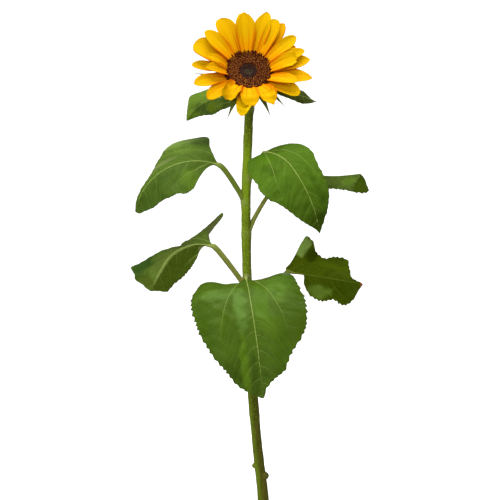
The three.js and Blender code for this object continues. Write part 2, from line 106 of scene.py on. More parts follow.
def smooth_line(marks: Sequence[Row], steps: int, dense: int = 40) -> Array:
    """Centripetal spline through marks.

    Args:
        marks: places that the line passes.
        steps: number of equal stretches of the result.
        dense: samples between two marks before the line is divided.

    Returns:
        steps + 1 points, evenly spaced along the line.
    """
    known = np.asarray(marks, float)
    ends = np.vstack([2 * known[0] - known[1], known, 2 * known[-1] - known[-2]])
    t = np.linspace(0, 1, dense, endpoint=False)[:, None]
    runs = []
    for p0, p1, p2, p3 in zip(ends, ends[1:], ends[2:], ends[3:]):
        d0, d1, d2 = (math.sqrt(np.linalg.norm(b - a)) for a, b in ((p0, p1), (p1, p2), (p2, p3)))
        leave = ((p1 - p0) / d0 - (p2 - p0) / (d0 + d1) + (p2 - p1) / d1) * d1
        reach = ((p2 - p1) / d1 - (p3 - p1) / (d1 + d2) + (p3 - p2) / d2) * d1
        square = 3 * (p2 - p1) - 2 * leave - reach
        cube = 2 * (p1 - p2) + leave + reach
        runs.append(p1 + leave * t + square * t**2 + cube * t**3)
    return even(np.vstack([*runs, known[-1:]]), steps)


def even(line: Array, steps: int) -> Array:
    """Divides a line into equal stretches.

    Args:
        line: its points, one a row.
        steps: number of stretches.

    Returns:
        steps + 1 points, evenly spaced along the line.
    """
    run = np.concatenate([[0.0], np.cumsum(np.linalg.norm(np.diff(line, axis=0), axis=1))])
    marks = np.linspace(0, run[-1], steps + 1)
    return np.stack([np.interp(marks, run, line[:, k]) for k in range(line.shape[1])], axis=-1)


def bezier(points: Sequence[Array], steps: int, dense: int = 80) -> Array:
    """Cubic curve.

    Args:
        points: its four control points.
        steps: number of equal stretches of the result.
        dense: samples of the curve before it is divided.

    Returns:
        steps + 1 points, evenly spaced along the curve.
    """
    p0, p1, p2, p3 = (np.asarray(p, float) for p in points)
    t = np.linspace(0, 1, dense)[:, None]
    u = 1 - t
    return even(u**3 * p0 + 3 * u * u * t * p1 + 3 * u * t * t * p2 + t**3 * p3, steps)


@dataclass
class Rib:
    """Midrib of a blade or petal: a line whose heading, rise and roll change from foot to tip."""

    start: Array
    length: float
    heading: Row
    rise: Row
    roll: Row = (0.0, 0.0)
    steps: int = 40
    points: Array = field(init=False)

    def __post_init__(self) -> None:
        """Walks the line from its foot to its tip."""
        middles = (np.arange(self.steps) + 0.5) / self.steps
        walk = np.cumsum(self.axes(middles)[0], axis=0) * self.length / self.steps
        self.points = np.vstack([self.start, self.start + walk])

    def axes(self, t: Array) -> tuple[Array, Array, Array]:
        """Axes of the rib.

        Args:
            t: shares of the length.

        Returns:
            The ways ahead, to the left and up at each.
        """
        a, e, r = (np.radians(along(row, t)) for row in (self.heading, self.rise, self.roll))
        ahead = np.stack([np.cos(e) * np.cos(a), np.cos(e) * np.sin(a), np.sin(e)], axis=-1)
        level = np.stack([-np.sin(a), np.cos(a), np.zeros_like(a)], axis=-1)
        upper = np.stack([-np.sin(e) * np.cos(a), -np.sin(e) * np.sin(a), np.cos(e)], axis=-1)
        c, s = np.cos(r)[..., None], np.sin(r)[..., None]
        return ahead, level * c + upper * s, upper * c - level * s

    def at(self, distance: Array) -> tuple[Array, Array, Array, Array]:
        """Places on the rib, which runs on straight past its ends.

        Args:
            distance: how far from the foot, in mm.

        Returns:
            The point at each distance, and the ways ahead, to the left and up there.
        """
        t = np.clip(distance / self.length, 0.0, 1.0)
        ahead, side, up = self.axes(t)
        i = np.minimum((t * self.steps).astype(int), self.steps - 1)
        share = (t * self.steps - i)[..., None]
        point = self.points[i] * (1 - share) + self.points[i + 1] * share
        return point + ahead * (distance - t * self.length)[..., None], ahead, side, up

    def beside(
        self, distance: Array, out: Array, lift: Array, fold: Array, curl: Array, unit: float
    ) -> Array:
        """Points beside the rib, on a section that starts at a fold and turns by a curl.

        Args:
            distance: how far along the rib.
            out: how far out along the section, to the left where positive.
            lift: how far off the section, upwards.
            fold: slope of the section at the rib, in degrees.
            curl: turn of the section in each unit of width, in degrees.
            unit: that width, in mm.

        Returns:
            The points, in mm.
        """
        point, _, side, up = self.at(distance)
        way = np.where(out < 0, -1.0, 1.0)
        start = np.radians(fold)
        turn = np.radians(np.where(np.abs(curl) < LEAST_CURL, LEAST_CURL, curl)) / unit
        angle = start + turn * np.abs(out)
        across = (np.sin(angle) - np.sin(start)) / turn
        rise = (np.cos(start) - np.cos(angle)) / turn
        tilt = np.where(out == 0, 0.0, angle)
        sideways = way * (across - lift * np.sin(tilt))
        return point + side * sideways[..., None] + up * (rise + lift * np.cos(tilt))[..., None]


# Mesh work


def shape_piece(name: str, points: Array, notes: dict[str, Array] | None = None) -> bpy.types.Object:
    """Shapes a piece from a flat grid of faces and closes its seams and poles.

    Args:
        name: the piece's name.
        points: places of its rows and columns, in mm.
        notes: values at those places, each kept as an attribute that a material may read.

    Returns:
        The piece.
    """
    rows, columns = points.shape[0] - 1, points.shape[1] - 1
    bpy.ops.object.select_all(action="DESELECT")
    bpy.ops.mesh.primitive_grid_add(x_subdivisions=columns, y_subdivisions=rows, size=1)
    piece = bpy.context.object
    piece.name = name
    piece.data.name = name
    piece.data.vertices.foreach_set("co", (points * MM).ravel())
    for key, values in (notes or {}).items():
        layer = piece.data.attributes.new(key, "FLOAT", "POINT")
        layer.data.foreach_set("value", np.ascontiguousarray(values, dtype=np.float32).ravel())
    bpy.ops.object.mode_set(mode="EDIT")
    bpy.ops.mesh.select_all(action="SELECT")
    bpy.ops.mesh.remove_doubles(threshold=SEAM_GAP)
    bpy.ops.object.mode_set(mode="OBJECT")
    bpy.ops.object.shade_smooth()
    return piece


def thicken(piece: bpy.types.Object, thickness: float, second_finish: bool = False) -> None:
    """Gives a sheet its thickness.

    Args:
        piece: the sheet.
        thickness: how thick it gets, in mm.
        second_finish: whether the lower face takes its second finish.
    """
    bpy.ops.object.select_all(action="DESELECT")
    piece.select_set(True)
    bpy.context.view_layer.objects.active = piece
    modifier = piece.modifiers.new("solidify", "SOLIDIFY")
    modifier.thickness = thickness * MM
    modifier.offset = 0.0
    modifier.material_offset = 1 if second_finish else 0
    bpy.ops.object.modifier_apply(modifier=modifier.name)


def strew(
    name: str, shape: Array, faces: Sequence[Sequence[int]], places: Array, turns: Array
) -> bpy.types.Object:
    """Joins many copies of one small shape into one piece.

    Args:
        name: the piece's name.
        shape: points of the shape, in mm, one set for all or one for each copy.
        faces: the shape's faces.
        places: where each copy stands, in mm.
        turns: the three axes of each copy, one a row.

    Returns:
        The piece.
    """
    many = len(places)
    points = (np.broadcast_to(shape, (many, *shape.shape[-2:])) @ turns + places[:, None, :]) * MM
    step = shape.shape[-2]
    mesh = bpy.data.meshes.new(name)
    index = [[corner + step * k for corner in face] for k in range(many) for face in faces]
    mesh.from_pydata(points.reshape(-1, 3).tolist(), [], index)
    piece = bpy.data.objects.new(name, mesh)
    bpy.context.scene.collection.objects.link(piece)
    return piece


def axes_from(ahead: Array, seed: int) -> Array:
    """Axes for strewn shapes, each turned about its own way by a seeded angle.

    Args:
        ahead: the way of each shape, one a row.
        seed: number that fixes the angles.

    Returns:
        Three axes for each shape, the third its way.
    """
    rng = np.random.default_rng(seed)
    ahead = ahead / np.linalg.norm(ahead, axis=1, keepdims=True)
    first = np.cross(ahead, rng.normal(size=ahead.shape))
    first /= np.linalg.norm(first, axis=1, keepdims=True)
    return np.stack([first, np.cross(ahead, first), ahead], axis=1)


def carried(line: Array, first: Array) -> tuple[Array, Array]:
    """Carries a direction along a line without twist.

    Args:
        line: the line's points, one a row.
        first: the direction at its first point.

    Returns:
        The direction at each point, and the one across it.
    """
    ahead = np.gradient(line, axis=0)
    ahead /= np.linalg.norm(ahead, axis=1, keepdims=True)
    outs = []
    out = np.asarray(first, float)
    for way in ahead:
        out = out - way * (out @ way)
        out = out / np.linalg.norm(out)
        outs.append(out)
    out_ways = np.array(outs)
    return out_ways, np.cross(ahead, out_ways)


def ring_ways(out: Array, across: Array, turn: Array) -> Array:
    """Ways from each point of a line to the skin round it, one for each angle."""
    return out[:, None] * np.cos(turn)[:, None] + across[:, None] * np.sin(turn)[:, None]


def closed_ends(points: Array) -> Array:
    """Closes the ends of a tube.

    Args:
        points: the tube's rows of points.

    Returns:
        The same rows with one more at each end, drawn together into its middle.
    """
    first = np.broadcast_to(points[:1, :-1].mean(axis=1, keepdims=True), points[:1].shape)
    last = np.broadcast_to(points[-1:, :-1].mean(axis=1, keepdims=True), points[-1:].shape)
    return np.vstack([first, points, last])


def ends_doubled(values: Array) -> Array:
    """Rows of values with the first and the last row said twice, to go with closed ends."""
    return np.vstack([values[:1], values, values[-1:]])


# Materials


class Wire:
    """A number in a material, on which Python's operators add Math nodes."""

    def __init__(self, graph: "Graph", socket: bpy.types.NodeSocket) -> None:
        """Keeps the graph and the socket that the number comes from."""
        self.graph = graph
        self.socket = socket

    def math(self, operation: str, *others: "Wire | float") -> "Wire":
        """The result of a Math node on this number and the others."""
        return self.graph.math(operation, self, *others)

    def __add__(self, other: "Wire | float") -> "Wire":
        """Sum."""
        return self.math("ADD", other)

    def __radd__(self, other: float) -> "Wire":
        """Sum with the number on the right."""
        return self.math("ADD", other)

    def __sub__(self, other: "Wire | float") -> "Wire":
        """Difference."""
        return self.math("SUBTRACT", other)

    def __rsub__(self, other: float) -> "Wire":
        """Difference from a number."""
        return self.graph.math("SUBTRACT", other, self)

    def __mul__(self, other: "Wire | float") -> "Wire":
        """Product."""
        return self.math("MULTIPLY", other)

    def __rmul__(self, other: float) -> "Wire":
        """Product with the number on the right."""
        return self.math("MULTIPLY", other)

    def __truediv__(self, other: "Wire | float") -> "Wire":
        """Quotient."""
        return self.math("DIVIDE", other)

    def __abs__(self) -> "Wire":
        """Size without its sign."""
        return self.math("ABSOLUTE")

    def step(self, low: float, high: float) -> "Wire":
        """Soft step from 0 at low to 1 at high."""
        values = {0: self, 1: low, 2: high}
        return self.graph.wire("ShaderNodeMapRange", {"interpolation_type": "SMOOTHSTEP"}, values)

    def line(self, width: float) -> "Wire":
        """Mask of a line where this distance passes 0, of the given half width."""
        return 1 - abs(self).step(0.0, width)


class Graph:
    """One material and the nodes that it is made of."""

    def __init__(self, name: str) -> None:
        """Starts an empty material with its output.

        Args:
            name: the material's name.
        """
        self.material = bpy.data.materials.new(name)
        self.material.use_nodes = True
        self.tree = self.material.node_tree
        self.tree.nodes.clear()
        self.output = self.tree.nodes.new("ShaderNodeOutputMaterial")

    def node(self, kind: str, settings: dict | None = None, values: dict | None = None) -> bpy.types.Node:
        """Adds a node.

        Args:
            kind: the node's type.
            settings: its own settings, which are set first.
            values: what each input gets, a number, a colour, a Wire or another node's socket.

        Returns:
            The node.
        """
        made = self.tree.nodes.new(kind)
        for key, value in (settings or {}).items():
            setattr(made, key, value)
        for key, value in (values or {}).items():
            source = value.socket if isinstance(value, Wire) else value
            if isinstance(source, bpy.types.NodeSocket):
                self.tree.links.new(source, made.inputs[key])
            else:
                made.inputs[key].default_value = source
        return made

    def wire(self, kind: str, settings: dict, values: dict) -> Wire:
        """Adds a node and gives its first output as a number."""
        return Wire(self, self.node(kind, settings, values).outputs[0])

    def math(self, operation: str, *values: "Wire | float") -> Wire:
        """Adds a Math node."""
        return self.wire("ShaderNodeMath", {"operation": operation}, dict(enumerate(values)))

    def note(self, name: str) -> Wire:
        """The value that the mesh keeps under a name."""
        node = self.node("ShaderNodeAttribute", {"attribute_name": name})
        return Wire(self, node.outputs["Fac"])

    def place(self) -> bpy.types.NodeSocket:
        """Object coordinates."""
        return self.node("ShaderNodeTexCoord").outputs["Object"]

    def speckle(self, where: bpy.types.NodeSocket, scale: float, detail: float = 2.0) -> Wire:
        """Noise of about 0 to 1 at a place."""
        return self.wire("ShaderNodeTexNoise", {}, {"Vector": where, "Scale": scale, "Detail": detail})

    def at(self, x: "Wire | float", y: "Wire | float", z: "Wire | float") -> bpy.types.NodeSocket:
        """A place from its three numbers."""
        return self.node("ShaderNodeCombineXYZ", {}, {0: x, 1: y, 2: z}).outputs[0]

    def mix(self, share: Wire, first: object, second: object) -> bpy.types.NodeSocket:
        """Colour between two colours."""
        node = self.node("ShaderNodeMix", {"data_type": "RGBA"}, {0: share, 6: first, 7: second})
        return node.outputs[2]

    def dress(self, base: object, roughness: "Wire | float", height: Wire | None, depth: float = 0.3,
              **fixed: object) -> bpy.types.Material:
        """Ends the material in its shader.

        Args:
            base: the base colour.
            roughness: the roughness.
            height: relief of 0 to 1, or none.
            depth: how deep the relief is, in mm.
            **fixed: numbers or colours for the shader's other sockets, with _ for each space in a name.

        Returns:
            The material.
        """
        values = {"Base Color": base, "Roughness": roughness}
        values.update({key.replace("_", " "): value for key, value in fixed.items()})
        if height is not None:
            relief = {"Height": height, "Distance": depth * MM, "Strength": 1.0}
            values["Normal"] = self.node("ShaderNodeBump", {}, relief).outputs[0]
        shader = self.node("ShaderNodeBsdfPrincipled", {}, values)
        self.tree.links.new(shader.outputs[0], self.output.inputs[0])
        return self.material


@dataclass(frozen=True)
class StemFinish:
    """Speckled green skin with painted light and shade on its sides and a russet streak near the foot.

    Each pair of heights, in metres, is the stretch over which a change sets in: the lighter green, a duller
    one above it, the bright green of a band of painted sunlight, its end, and the younger skin past the foot.
    The left side is lighter with painted light, and the right side browner with painted shade.
    """

    low: Colour = srgb(71, 76, 12)
    high: Colour = srgb(103, 122, 14)
    bright: Colour = srgb(142, 176, 22)
    fleck_and_light: Colour = srgb(156, 184, 50)
    brown_and_shade: Colour = srgb(84, 78, 28)
    russet: Colour = srgb(104, 84, 34)
    pale: Colour = srgb(176, 186, 110)
    lighter: tuple[float, float] = (0.13, 0.28)
    duller: tuple[float, float] = (0.42, 0.47)
    bright_from: tuple[float, float] = (0.33, 0.38)
    bright_to: tuple[float, float] = (0.405, 0.445)
    past_foot: tuple[float, float] = (0.06, 0.16)

    def material(self, name: str) -> bpy.types.Material:
        """The material.

        Args:
            name: its name.

        Returns:
            The material.
        """
        g = Graph(name)
        where = g.place()
        parts = g.node("ShaderNodeSeparateXYZ", {}, {0: where}).outputs
        height = Wire(g, parts[2])
        green = g.mix(height.step(*self.lighter) - height.step(*self.duller) * 0.7, self.low, self.high)
        # Painted sunlight: a band of bright green.
        sunlit = (height.step(*self.bright_from) - height.step(*self.bright_to)) * 0.9
        skin = g.mix(sunlit, green, self.bright)
        grown = height.step(*self.past_foot)
        flecks = g.speckle(where, scale=560.0).step(0.48, 0.66) * (grown * 0.7 + 0.3)
        streak = g.speckle(g.at(parts[0], parts[1], height * 0.12), scale=240.0, detail=3.0).step(0.35, 0.7)
        right = g.note("right")
        # Painted light: the left side grows lighter.
        lit = (0 - right).step(-0.2, 0.8) * 0.3
        toned = g.mix(flecks * 0.5 + streak * 0.12 + lit, skin, self.fleck_and_light)
        ragged = (g.speckle(where, scale=330.0) - 0.5) * 0.9
        # Painted shade: the right side turns brown, with a ragged edge.
        shaded_right = g.mix((right + ragged).step(0.35, 0.9) * 0.65, toned, self.brown_and_shade)
        dark = g.speckle(where, scale=430.0).step(0.56, 0.72)
        worn = g.mix(dark * (grown * 0.35 + 0.15), shaded_right, self.brown_and_shade)
        seam = (right.step(-0.15, 0.15) - right.step(0.5, 0.75)) * (1 - grown)
        seamed = g.mix(seam * streak * 0.75, worn, self.russet)
        base = g.mix(g.note("pale"), seamed, self.pale)
        relief = g.speckle(where, scale=800.0)
        return g.dress(base, roughness=0.7, height=relief, depth=0.5, Specular_IOR_Level=0.06)


@dataclass(frozen=True)
class StalkFinish:
    """Pale green skin with tan stripes along the stalk, which turns to the blade's vein colour."""

    vein: Colour
    tanned: float = 1.0
    green: Colour = srgb(118, 142, 44)
    tan: Colour = srgb(174, 158, 92)

    def material(self, name: str) -> bpy.types.Material:
        """The material.

        Args:
            name: its name.

        Returns:
            The material.
        """
        g = Graph(name)
        where = g.place()
        drawn = g.at(g.note("round") * 5.0, g.note("along") * 1.2, 0.0)
        stripe = g.speckle(drawn, scale=1.6, detail=1.0).step(0.4, 0.62)
        specks = g.speckle(where, scale=700.0).step(0.5, 0.75)
        free = g.mix((stripe * 0.75 + specks * 0.12) * self.tanned, self.green, self.tan)
        base = g.mix(g.note("rib"), free, self.vein)
        relief = g.speckle(where, scale=1100.0)
        return g.dress(base, roughness=0.6, height=relief, depth=0.2, Specular_IOR_Level=0.08)


@dataclass(frozen=True)
class Patch:
    """Soft oval of another colour on a blade.

    Its middle and its reach, along and out, are shares of the length. It lies on the left half where out is
    positive. Soft is the share of its reach over which it fades. Most patches are painted light and painted
    shade; a few are the leaf's own colour.
    """

    along: float
    out: float
    reach: tuple[float, float]
    colour: Colour
    strength: float = 0.7
    soft: float = 1.0

    def cover(self, g: Graph, length: float, ragged: Wire) -> Wire:
        """How much of the patch shows at each place.

        Args:
            g: the material.
            length: the blade's length, in mm.
            ragged: noise that breaks up the patch's edge.

        Returns:
            The share of its colour.
        """
        ahead = (g.note("along") - self.along) / self.reach[0]
        aside = (g.note("out") / length - self.out) / self.reach[1]
        return (1 - (ahead * ahead + aside * aside + ragged).step(1 - self.soft, 1.1)) * self.strength


@dataclass(frozen=True)
class LeafFinish:
    """Green of one leaf: its tones above and below, its veins, its sheen and its patches.

    Light and dark are its tones above. The two sides are painted shade, how dark each half is, left and
    right, and shade is painted shade that darkens it to the tip, 0 to 1. Streaks are painted light and shade
    along the finer veins, and most patches are painted light and painted shade.
    """

    light: Colour
    dark: Colour
    below: Colour = srgb(94, 110, 40)
    vein: Colour = srgb(158, 176, 92)
    strength: float = 0.3
    sides: tuple[float, float] = (0.3, 0.3)
    shade: float = 0.5
    gloss: float = 0.06
    matt: float = 0.46
    streaks: float = 0.28
    sheen: Colour = (0.75, 1.0, 0.45, 1.0)
    patches: tuple[Patch, ...] = ()

    def veins(self, g: Graph, spacing: float) -> tuple[Wire, Wire]:
        """Masks of the strong veins and of the finer ones that leave them.

        Args:
            g: the material.
            spacing: distance between the finer veins, in mm.

        Returns:
            The two masks.
        """
        out, basal, t = g.note("out"), g.note("basal"), g.note("along")
        past = basal.math("GREATER_THAN", 0.0)
        inner = g.note("inner")
        started = inner.step(0.7, 1.0)
        fine_in = abs((inner + 0.5).math("FRACT") - 0.5) * spacing
        fine_out = abs((g.note("outer") + 0.5).math("FRACT") - 0.5) * spacing
        fading = 1 - abs(out).step(2.0, 30.0)
        inside = fine_in.line(0.5) * (1 - past) * started * fading
        outside = fine_out.line(0.5) * past * (1 - basal.step(2.0, 16.0)) * 0.4 * (1 - t.step(0.3, 0.7))
        strong = basal.line(0.55) * (1 - t.step(0.12, 0.6))
        middle = out.line(0.6) * (1 - t.step(0.3, 0.95) * 0.85)
        return strong.math("MAXIMUM", middle), inside.math("MAXIMUM", outside)

    def material(self, name: str, upper: bool, length: float, spacing: float) -> bpy.types.Material:
        """The material of one face.

        Args:
            name: the material's name.
            upper: whether it is the upper face.
            length: the blade's length, in mm.
            spacing: distance between the finer veins, in mm.

        Returns:
            The material.
        """
        g = Graph(name)
        where = g.place()
        strong, fine = self.veins(g, spacing)
        # Painted shade: each half darker by its side.
        left, right = self.sides
        side = g.note("out").step(-1.5, 1.5)
        half_shade = side * (left - right) + right
        tone = g.speckle(where, scale=30.0, detail=3.0).step(0.3, 0.7)
        grain = g.speckle(where, scale=520.0, detail=3.0)
        spread = {"Vector": where, "Scale": 260.0}
        cells = g.wire("ShaderNodeTexVoronoi", {"feature": "DISTANCE_TO_EDGE"}, spread)
        net = 1 - cells.step(0.0, 0.1)
        inner = g.note("inner")
        course = inner + (g.note("outer") - inner) * g.note("basal").math("GREATER_THAN", 0.0)
        # Painted light and shade in streaks along the finer veins.
        drawn = g.at(course * 3.0, g.note("out") * 0.03, 0.0)
        streak = g.speckle(drawn, scale=1.4, detail=3.0).step(0.3, 0.7)
        uneven = (tone - 0.5) * 0.25 + (grain - 0.5) * 0.25 + (streak - 0.5) * self.streaks
        # Painted shade that grows to the tip, with tone that differs at random.
        darkness = half_shade + g.note("along").step(0.3, 1.0) * self.shade + uneven
        if upper:
            ground = g.mix(darkness, self.light, self.dark)
            ragged = g.speckle(where, scale=90.0, detail=3.0) * 2.0 - 1.0
            # Patches, most of them painted light and painted shade.
            for patch in self.patches:
                ground = g.mix(patch.cover(g, length, ragged), ground, patch.colour)
            base = g.mix(strong * 0.8 + fine * self.strength + net * 0.03, ground, self.vein)
            relief = grain * 0.05 + cells.step(0.0, 0.4) * 0.10 + (1 - strong) * 0.3 + (1 - fine) * 0.35
            return g.dress(base, self.matt + tone * 0.1, relief, depth=0.5, Specular_IOR_Level=self.gloss,
                           Specular_Tint=self.sheen)
        ground = g.mix(tone * 0.5 + grain * 0.3, self.below, self.dark)
        base = g.mix(strong * 0.7 + fine * 0.45 + net * 0.08, ground, self.vein)
        relief = grain * 0.2 + net * 0.15 + strong * 0.5 + fine * 0.3
        return g.dress(base, roughness=0.8, height=relief, depth=0.4, Specular_IOR_Level=0.04)


@dataclass(frozen=True)
class RayFinish:
    """Silky yellow that deepens to orange at the foot, with painted shade in its pleats and at the sides of
    its foot, and more orange on a ray given painted shade.
    """

    tip: Colour = srgb(216, 174, 0)
    foot: Colour = srgb(240, 161, 0)
    seam: Colour = srgb(206, 96, 0)
    rust: Colour = srgb(150, 74, 10)

    def material(self, name: str) -> bpy.types.Material:
        """The material.

        Args:
            name: its name.

        Returns:
            The material.
        """
        g = Graph(name)
        run, cross, ray_shade = g.note("run"), g.note("cross"), g.note("ray_shade")
        silk = g.speckle(g.at(cross * 7.0, run * 1.1, g.note("own")), scale=1.7, detail=3.0)
        # Painted shade in the pleats, fading to the tip.
        pleat_shade = (abs(cross) - 0.36).line(0.14) * (1 - run.step(0.25, 0.95))
        # Painted shade: a shaded ray stays orange further out and darkens.
        ground = g.mix(run.step(0.0, 0.6) * (1 - ray_shade), self.foot, self.tip)
        strength = pleat_shade * 0.5 + silk.step(0.45, 0.8) * 0.35 * (1 - run * 0.5) + ray_shade * 0.35
        veined = g.mix(strength, ground, self.seam)
        # Painted shade at the sides of the foot, where the rays overlap.
        gap = abs(cross).step(0.5, 1.0) * (1 - run.step(0.35, 0.85)) * 0.9
        edge = abs(cross).step(0.72, 1.0) * run.step(0.45, 0.85)
        base = g.mix(edge * g.note("rusty"), g.mix(gap, veined, self.seam), self.rust)
        return g.dress(base, roughness=0.6, height=silk, depth=0.3, Specular_IOR_Level=0.02)


@dataclass(frozen=True)
class GrainFinish:
    """Uneven matt skin in two tones."""

    first: Colour
    second: Colour
    scale: float = 500.0
    depth: float = 0.3
    roughness: float = 0.75
    gloss: float = 0.1

    def material(self, name: str) -> bpy.types.Material:
        """The material.

        Args:
            name: its name.

        Returns:
            The material.
        """
        g = Graph(name)
        where = g.place()
        tone = g.speckle(where, self.scale)
        base = g.mix(tone.step(0.35, 0.65), self.first, self.second)
        return g.dress(base, self.roughness, g.speckle(where, self.scale * 2), self.depth,
                       Specular_IOR_Level=self.gloss)


def finish_piece(
    piece: bpy.types.Object, slot: str, *materials: bpy.types.Material, nodes: Sequence[str] = ()
) -> None:
    """Dresses a piece and says what it stands for.

    Args:
        piece: the finished piece.
        slot: not used.
        *materials: its materials.
        nodes: the solids that it takes the place of.
    """
    for material in materials:
        piece.data.materials.append(material)
    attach(piece, "root")
    if nodes:
        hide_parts(*nodes)
    LOG.info("%s: %d faces", piece.name, len(piece.data.polygons))


# Stem


@dataclass(frozen=True)
class StemMark:
    """Middle and radius of the stem at one height."""

    z: float
    x: float
    y: float
    r: float


STEM_LINE = (
    StemMark(-12, 2.2, 0, 7.2),
    StemMark(0, 1.1, 0, 6.8),
    StemMark(14, 0.0, 0, 6.4),
    StemMark(71, -6.5, 1, 5.9),
    StemMark(128, -11.5, 2.2, 6.1),
    StemMark(200, -16.1, 3.2, 5.7),
    StemMark(275, -18.6, 3.6, 5.5),
    StemMark(361, -19.9, 3, 5.5),
    StemMark(425, -17.9, 1.4, 5.3),
    StemMark(477, -16.1, 0, 5.2),
)


@dataclass(frozen=True)
class HeadFrame:
    """Place and facing of the flower head."""

    at: tuple[float, float, float] = (-16.9, -33, 514.4)
    faces: tuple[float, float, float] = (0.054, -0.877, 0.477)

    def axes(self) -> Array:
        """Axes of the head.

        Returns:
            Its right, its up and the way it faces, one a row.
        """
        ahead = np.array(self.faces) / np.linalg.norm(self.faces)
        right = np.cross((0, 0, 1), ahead)
        right /= np.linalg.norm(right)
        return np.stack([right, np.cross(ahead, right), ahead])

    def world(self, points: Array) -> Array:
        """Places in the plant from places in the head, in mm."""
        return np.array(self.at) + points @ self.axes()


HEAD = HeadFrame()


@dataclass
class Stem:
    """The stem with its neck, ridges, leaf nodes, bud scars and bristles.

    Each scar is a ball's middle and radius. Swell and paleness are how much a leaf node thickens and pales
    the stem, all round and besides on its leaf's side. Bristles are small below the two heights of
    bristle_grown and of full size above.
    """

    sides: int = 72
    steps: int = 520
    neck_radius: float = 5.6
    neck_pull: float = 0.36
    cup_depth: float = 18.0
    overlap: float = 1.0
    scars: tuple[tuple[float, float, float, float], ...] = ((2.9, -1.5, 33, 4.8), (-9.3, -1, 45, 3.4))
    ridges: int = 11
    ridge_height: float = 0.13
    node_reach: float = 5.5
    swell: tuple[float, float] = (0.3, 0.9)
    paleness: tuple[float, float] = (0.15, 0.4)
    bristles: int = 5200
    bristle_sizes: tuple[float, float] = (0.7, 1.7)
    bristle_least: float = 0.45
    bristle_grown: tuple[float, float] = (60, 150)

    def axis(self, z: float) -> Array:
        """Middle of the stem at a height."""
        heights = [m.z for m in STEM_LINE]
        return np.array([np.interp(z, heights, [getattr(m, k) for m in STEM_LINE]) for k in "xyz"])

    def line(self) -> Array:
        """Middle line of the stem.

        Returns:
            Its points from the ground to inside the cup, in mm.
        """
        known = [(m.x, m.y, m.z) for m in STEM_LINE]
        start = np.array(known[-1], float)
        ahead = HEAD.axes()[2]
        end = np.array(HEAD.at) + ahead * (self.overlap - self.cup_depth)
        reach = np.linalg.norm(end - start) * self.neck_pull
        neck = bezier((start, start + [0, 0, reach], end - ahead * reach, end), 6)
        dense = smooth_line([*known, *neck[1:]], self.steps * 2)
        above = dense[dense[:, 2] > 0]
        foot = self.axis(0.0)
        return even(np.vstack([foot, above]), self.steps)

    def radii(self, line: Array) -> Array:
        """Plain radius at each point of the line."""
        heights = [m.z for m in STEM_LINE] + [line[-1, 2]]
        return np.interp(line[:, 2], heights, [m.r for m in STEM_LINE] + [self.neck_radius])

    def surface(self, nodes: Sequence[tuple[float, Array]]) -> tuple[Array, Array]:
        """The skin's rows of points, and how pale each is.

        Args:
            nodes: height and outward way of each leaf stalk's foot.

        Returns:
            The points in mm, and the paleness.
        """
        line = self.line()
        turn = np.linspace(0, 2 * np.pi, self.sides + 1)
        ring = ring_ways(*carried(line, np.array([1.0, 0, 0])), turn)
        radius = np.repeat(self.radii(line)[:, None], self.sides + 1, axis=1)
        places = line[:, None, :] + ring * radius[..., None]
        drift = 0.5 * wobble(line, wavelength=160.0, seed=3)[:, None]
        radius += self.ridge_height * np.cos(self.ridges * turn[None, :] + drift)
        fine, broad = wobble(places, wavelength=9.0, seed=5), wobble(places, wavelength=34.0, seed=6)
        radius += 0.12 * fine + 0.16 * broad
        pale = np.zeros_like(radius)
        for height, way in nodes:
            near = np.exp(-((line[:, 2] - height) / self.node_reach) ** 2)[:, None]
            facing = np.clip(ring @ way, 0, 1) ** 2
            radius += near * (self.swell[0] + self.swell[1] * facing)
            pale += near * (self.paleness[0] + self.paleness[1] * facing)
        for x, y, z, r in self.scars:
            gap = np.array([x, y, z]) - line[:, None, :]
            ahead = (ring * gap).sum(-1)
            inside = np.maximum(ahead**2 - (gap**2).sum(-1) + r * r, 0)
            reach = np.where(inside > 0, ahead + np.sqrt(inside), 0)
            rise = np.maximum(reach - radius, 0)
            radius += rise
            pale += np.clip(rise / 4, 0, 0.06)
        return line[:, None, :] + ring * radius[..., None], np.clip(pale, 0, 0.7)

    def build(self, nodes: Sequence[tuple[float, Array]]) -> None:
        """Makes the stem and its bristles.

        Args:
            nodes: height and outward way of each leaf stalk's foot.
        """
        points, pale = self.surface(nodes)
        points[0, :, 2] = 0.0
        middle = points[:, :-1].mean(axis=1)[:, None, :]
        out = points - middle
        right = out[..., 0] / np.linalg.norm(out, axis=-1)
        notes = {"pale": ends_doubled(pale), "right": ends_doubled(right)}
        skin = shape_piece("stem_skin", closed_ends(points), notes)
        finish_piece(skin, "stem", StemFinish().material("stem_skin"), nodes=("stem",))
        finish_piece(self.hairs(points), "stem", BRISTLE_FINISH.material("bristle"))

    def hairs(self, points: Array) -> bpy.types.Object:
        """Makes the bristles that stand off the skin.

        Args:
            points: the skin's rows of points, in mm.

        Returns:
            The piece.
        """
        rng = np.random.default_rng(11)
        rows = rng.integers(4, len(points) - 12, self.bristles)
        columns = rng.integers(0, self.sides, self.bristles)
        places = points[rows, columns]
        out = places - points[rows].mean(axis=1)
        out /= np.linalg.norm(out, axis=1, keepdims=True)
        ways = out + 0.35 * rng.normal(size=out.shape)
        grown = smooth(places[:, 2], *self.bristle_grown)
        size = rng.uniform(*self.bristle_sizes, self.bristles)
        size *= self.bristle_least + (1 - self.bristle_least) * grown
        stretch = np.stack([np.ones_like(size), np.ones_like(size), size], axis=-1)
        shape = BRISTLE[None] * stretch[:, None, :]
        return strew("stem_bristles", shape, BRISTLE_FACES, places - out * 0.1, axes_from(ways, seed=12))


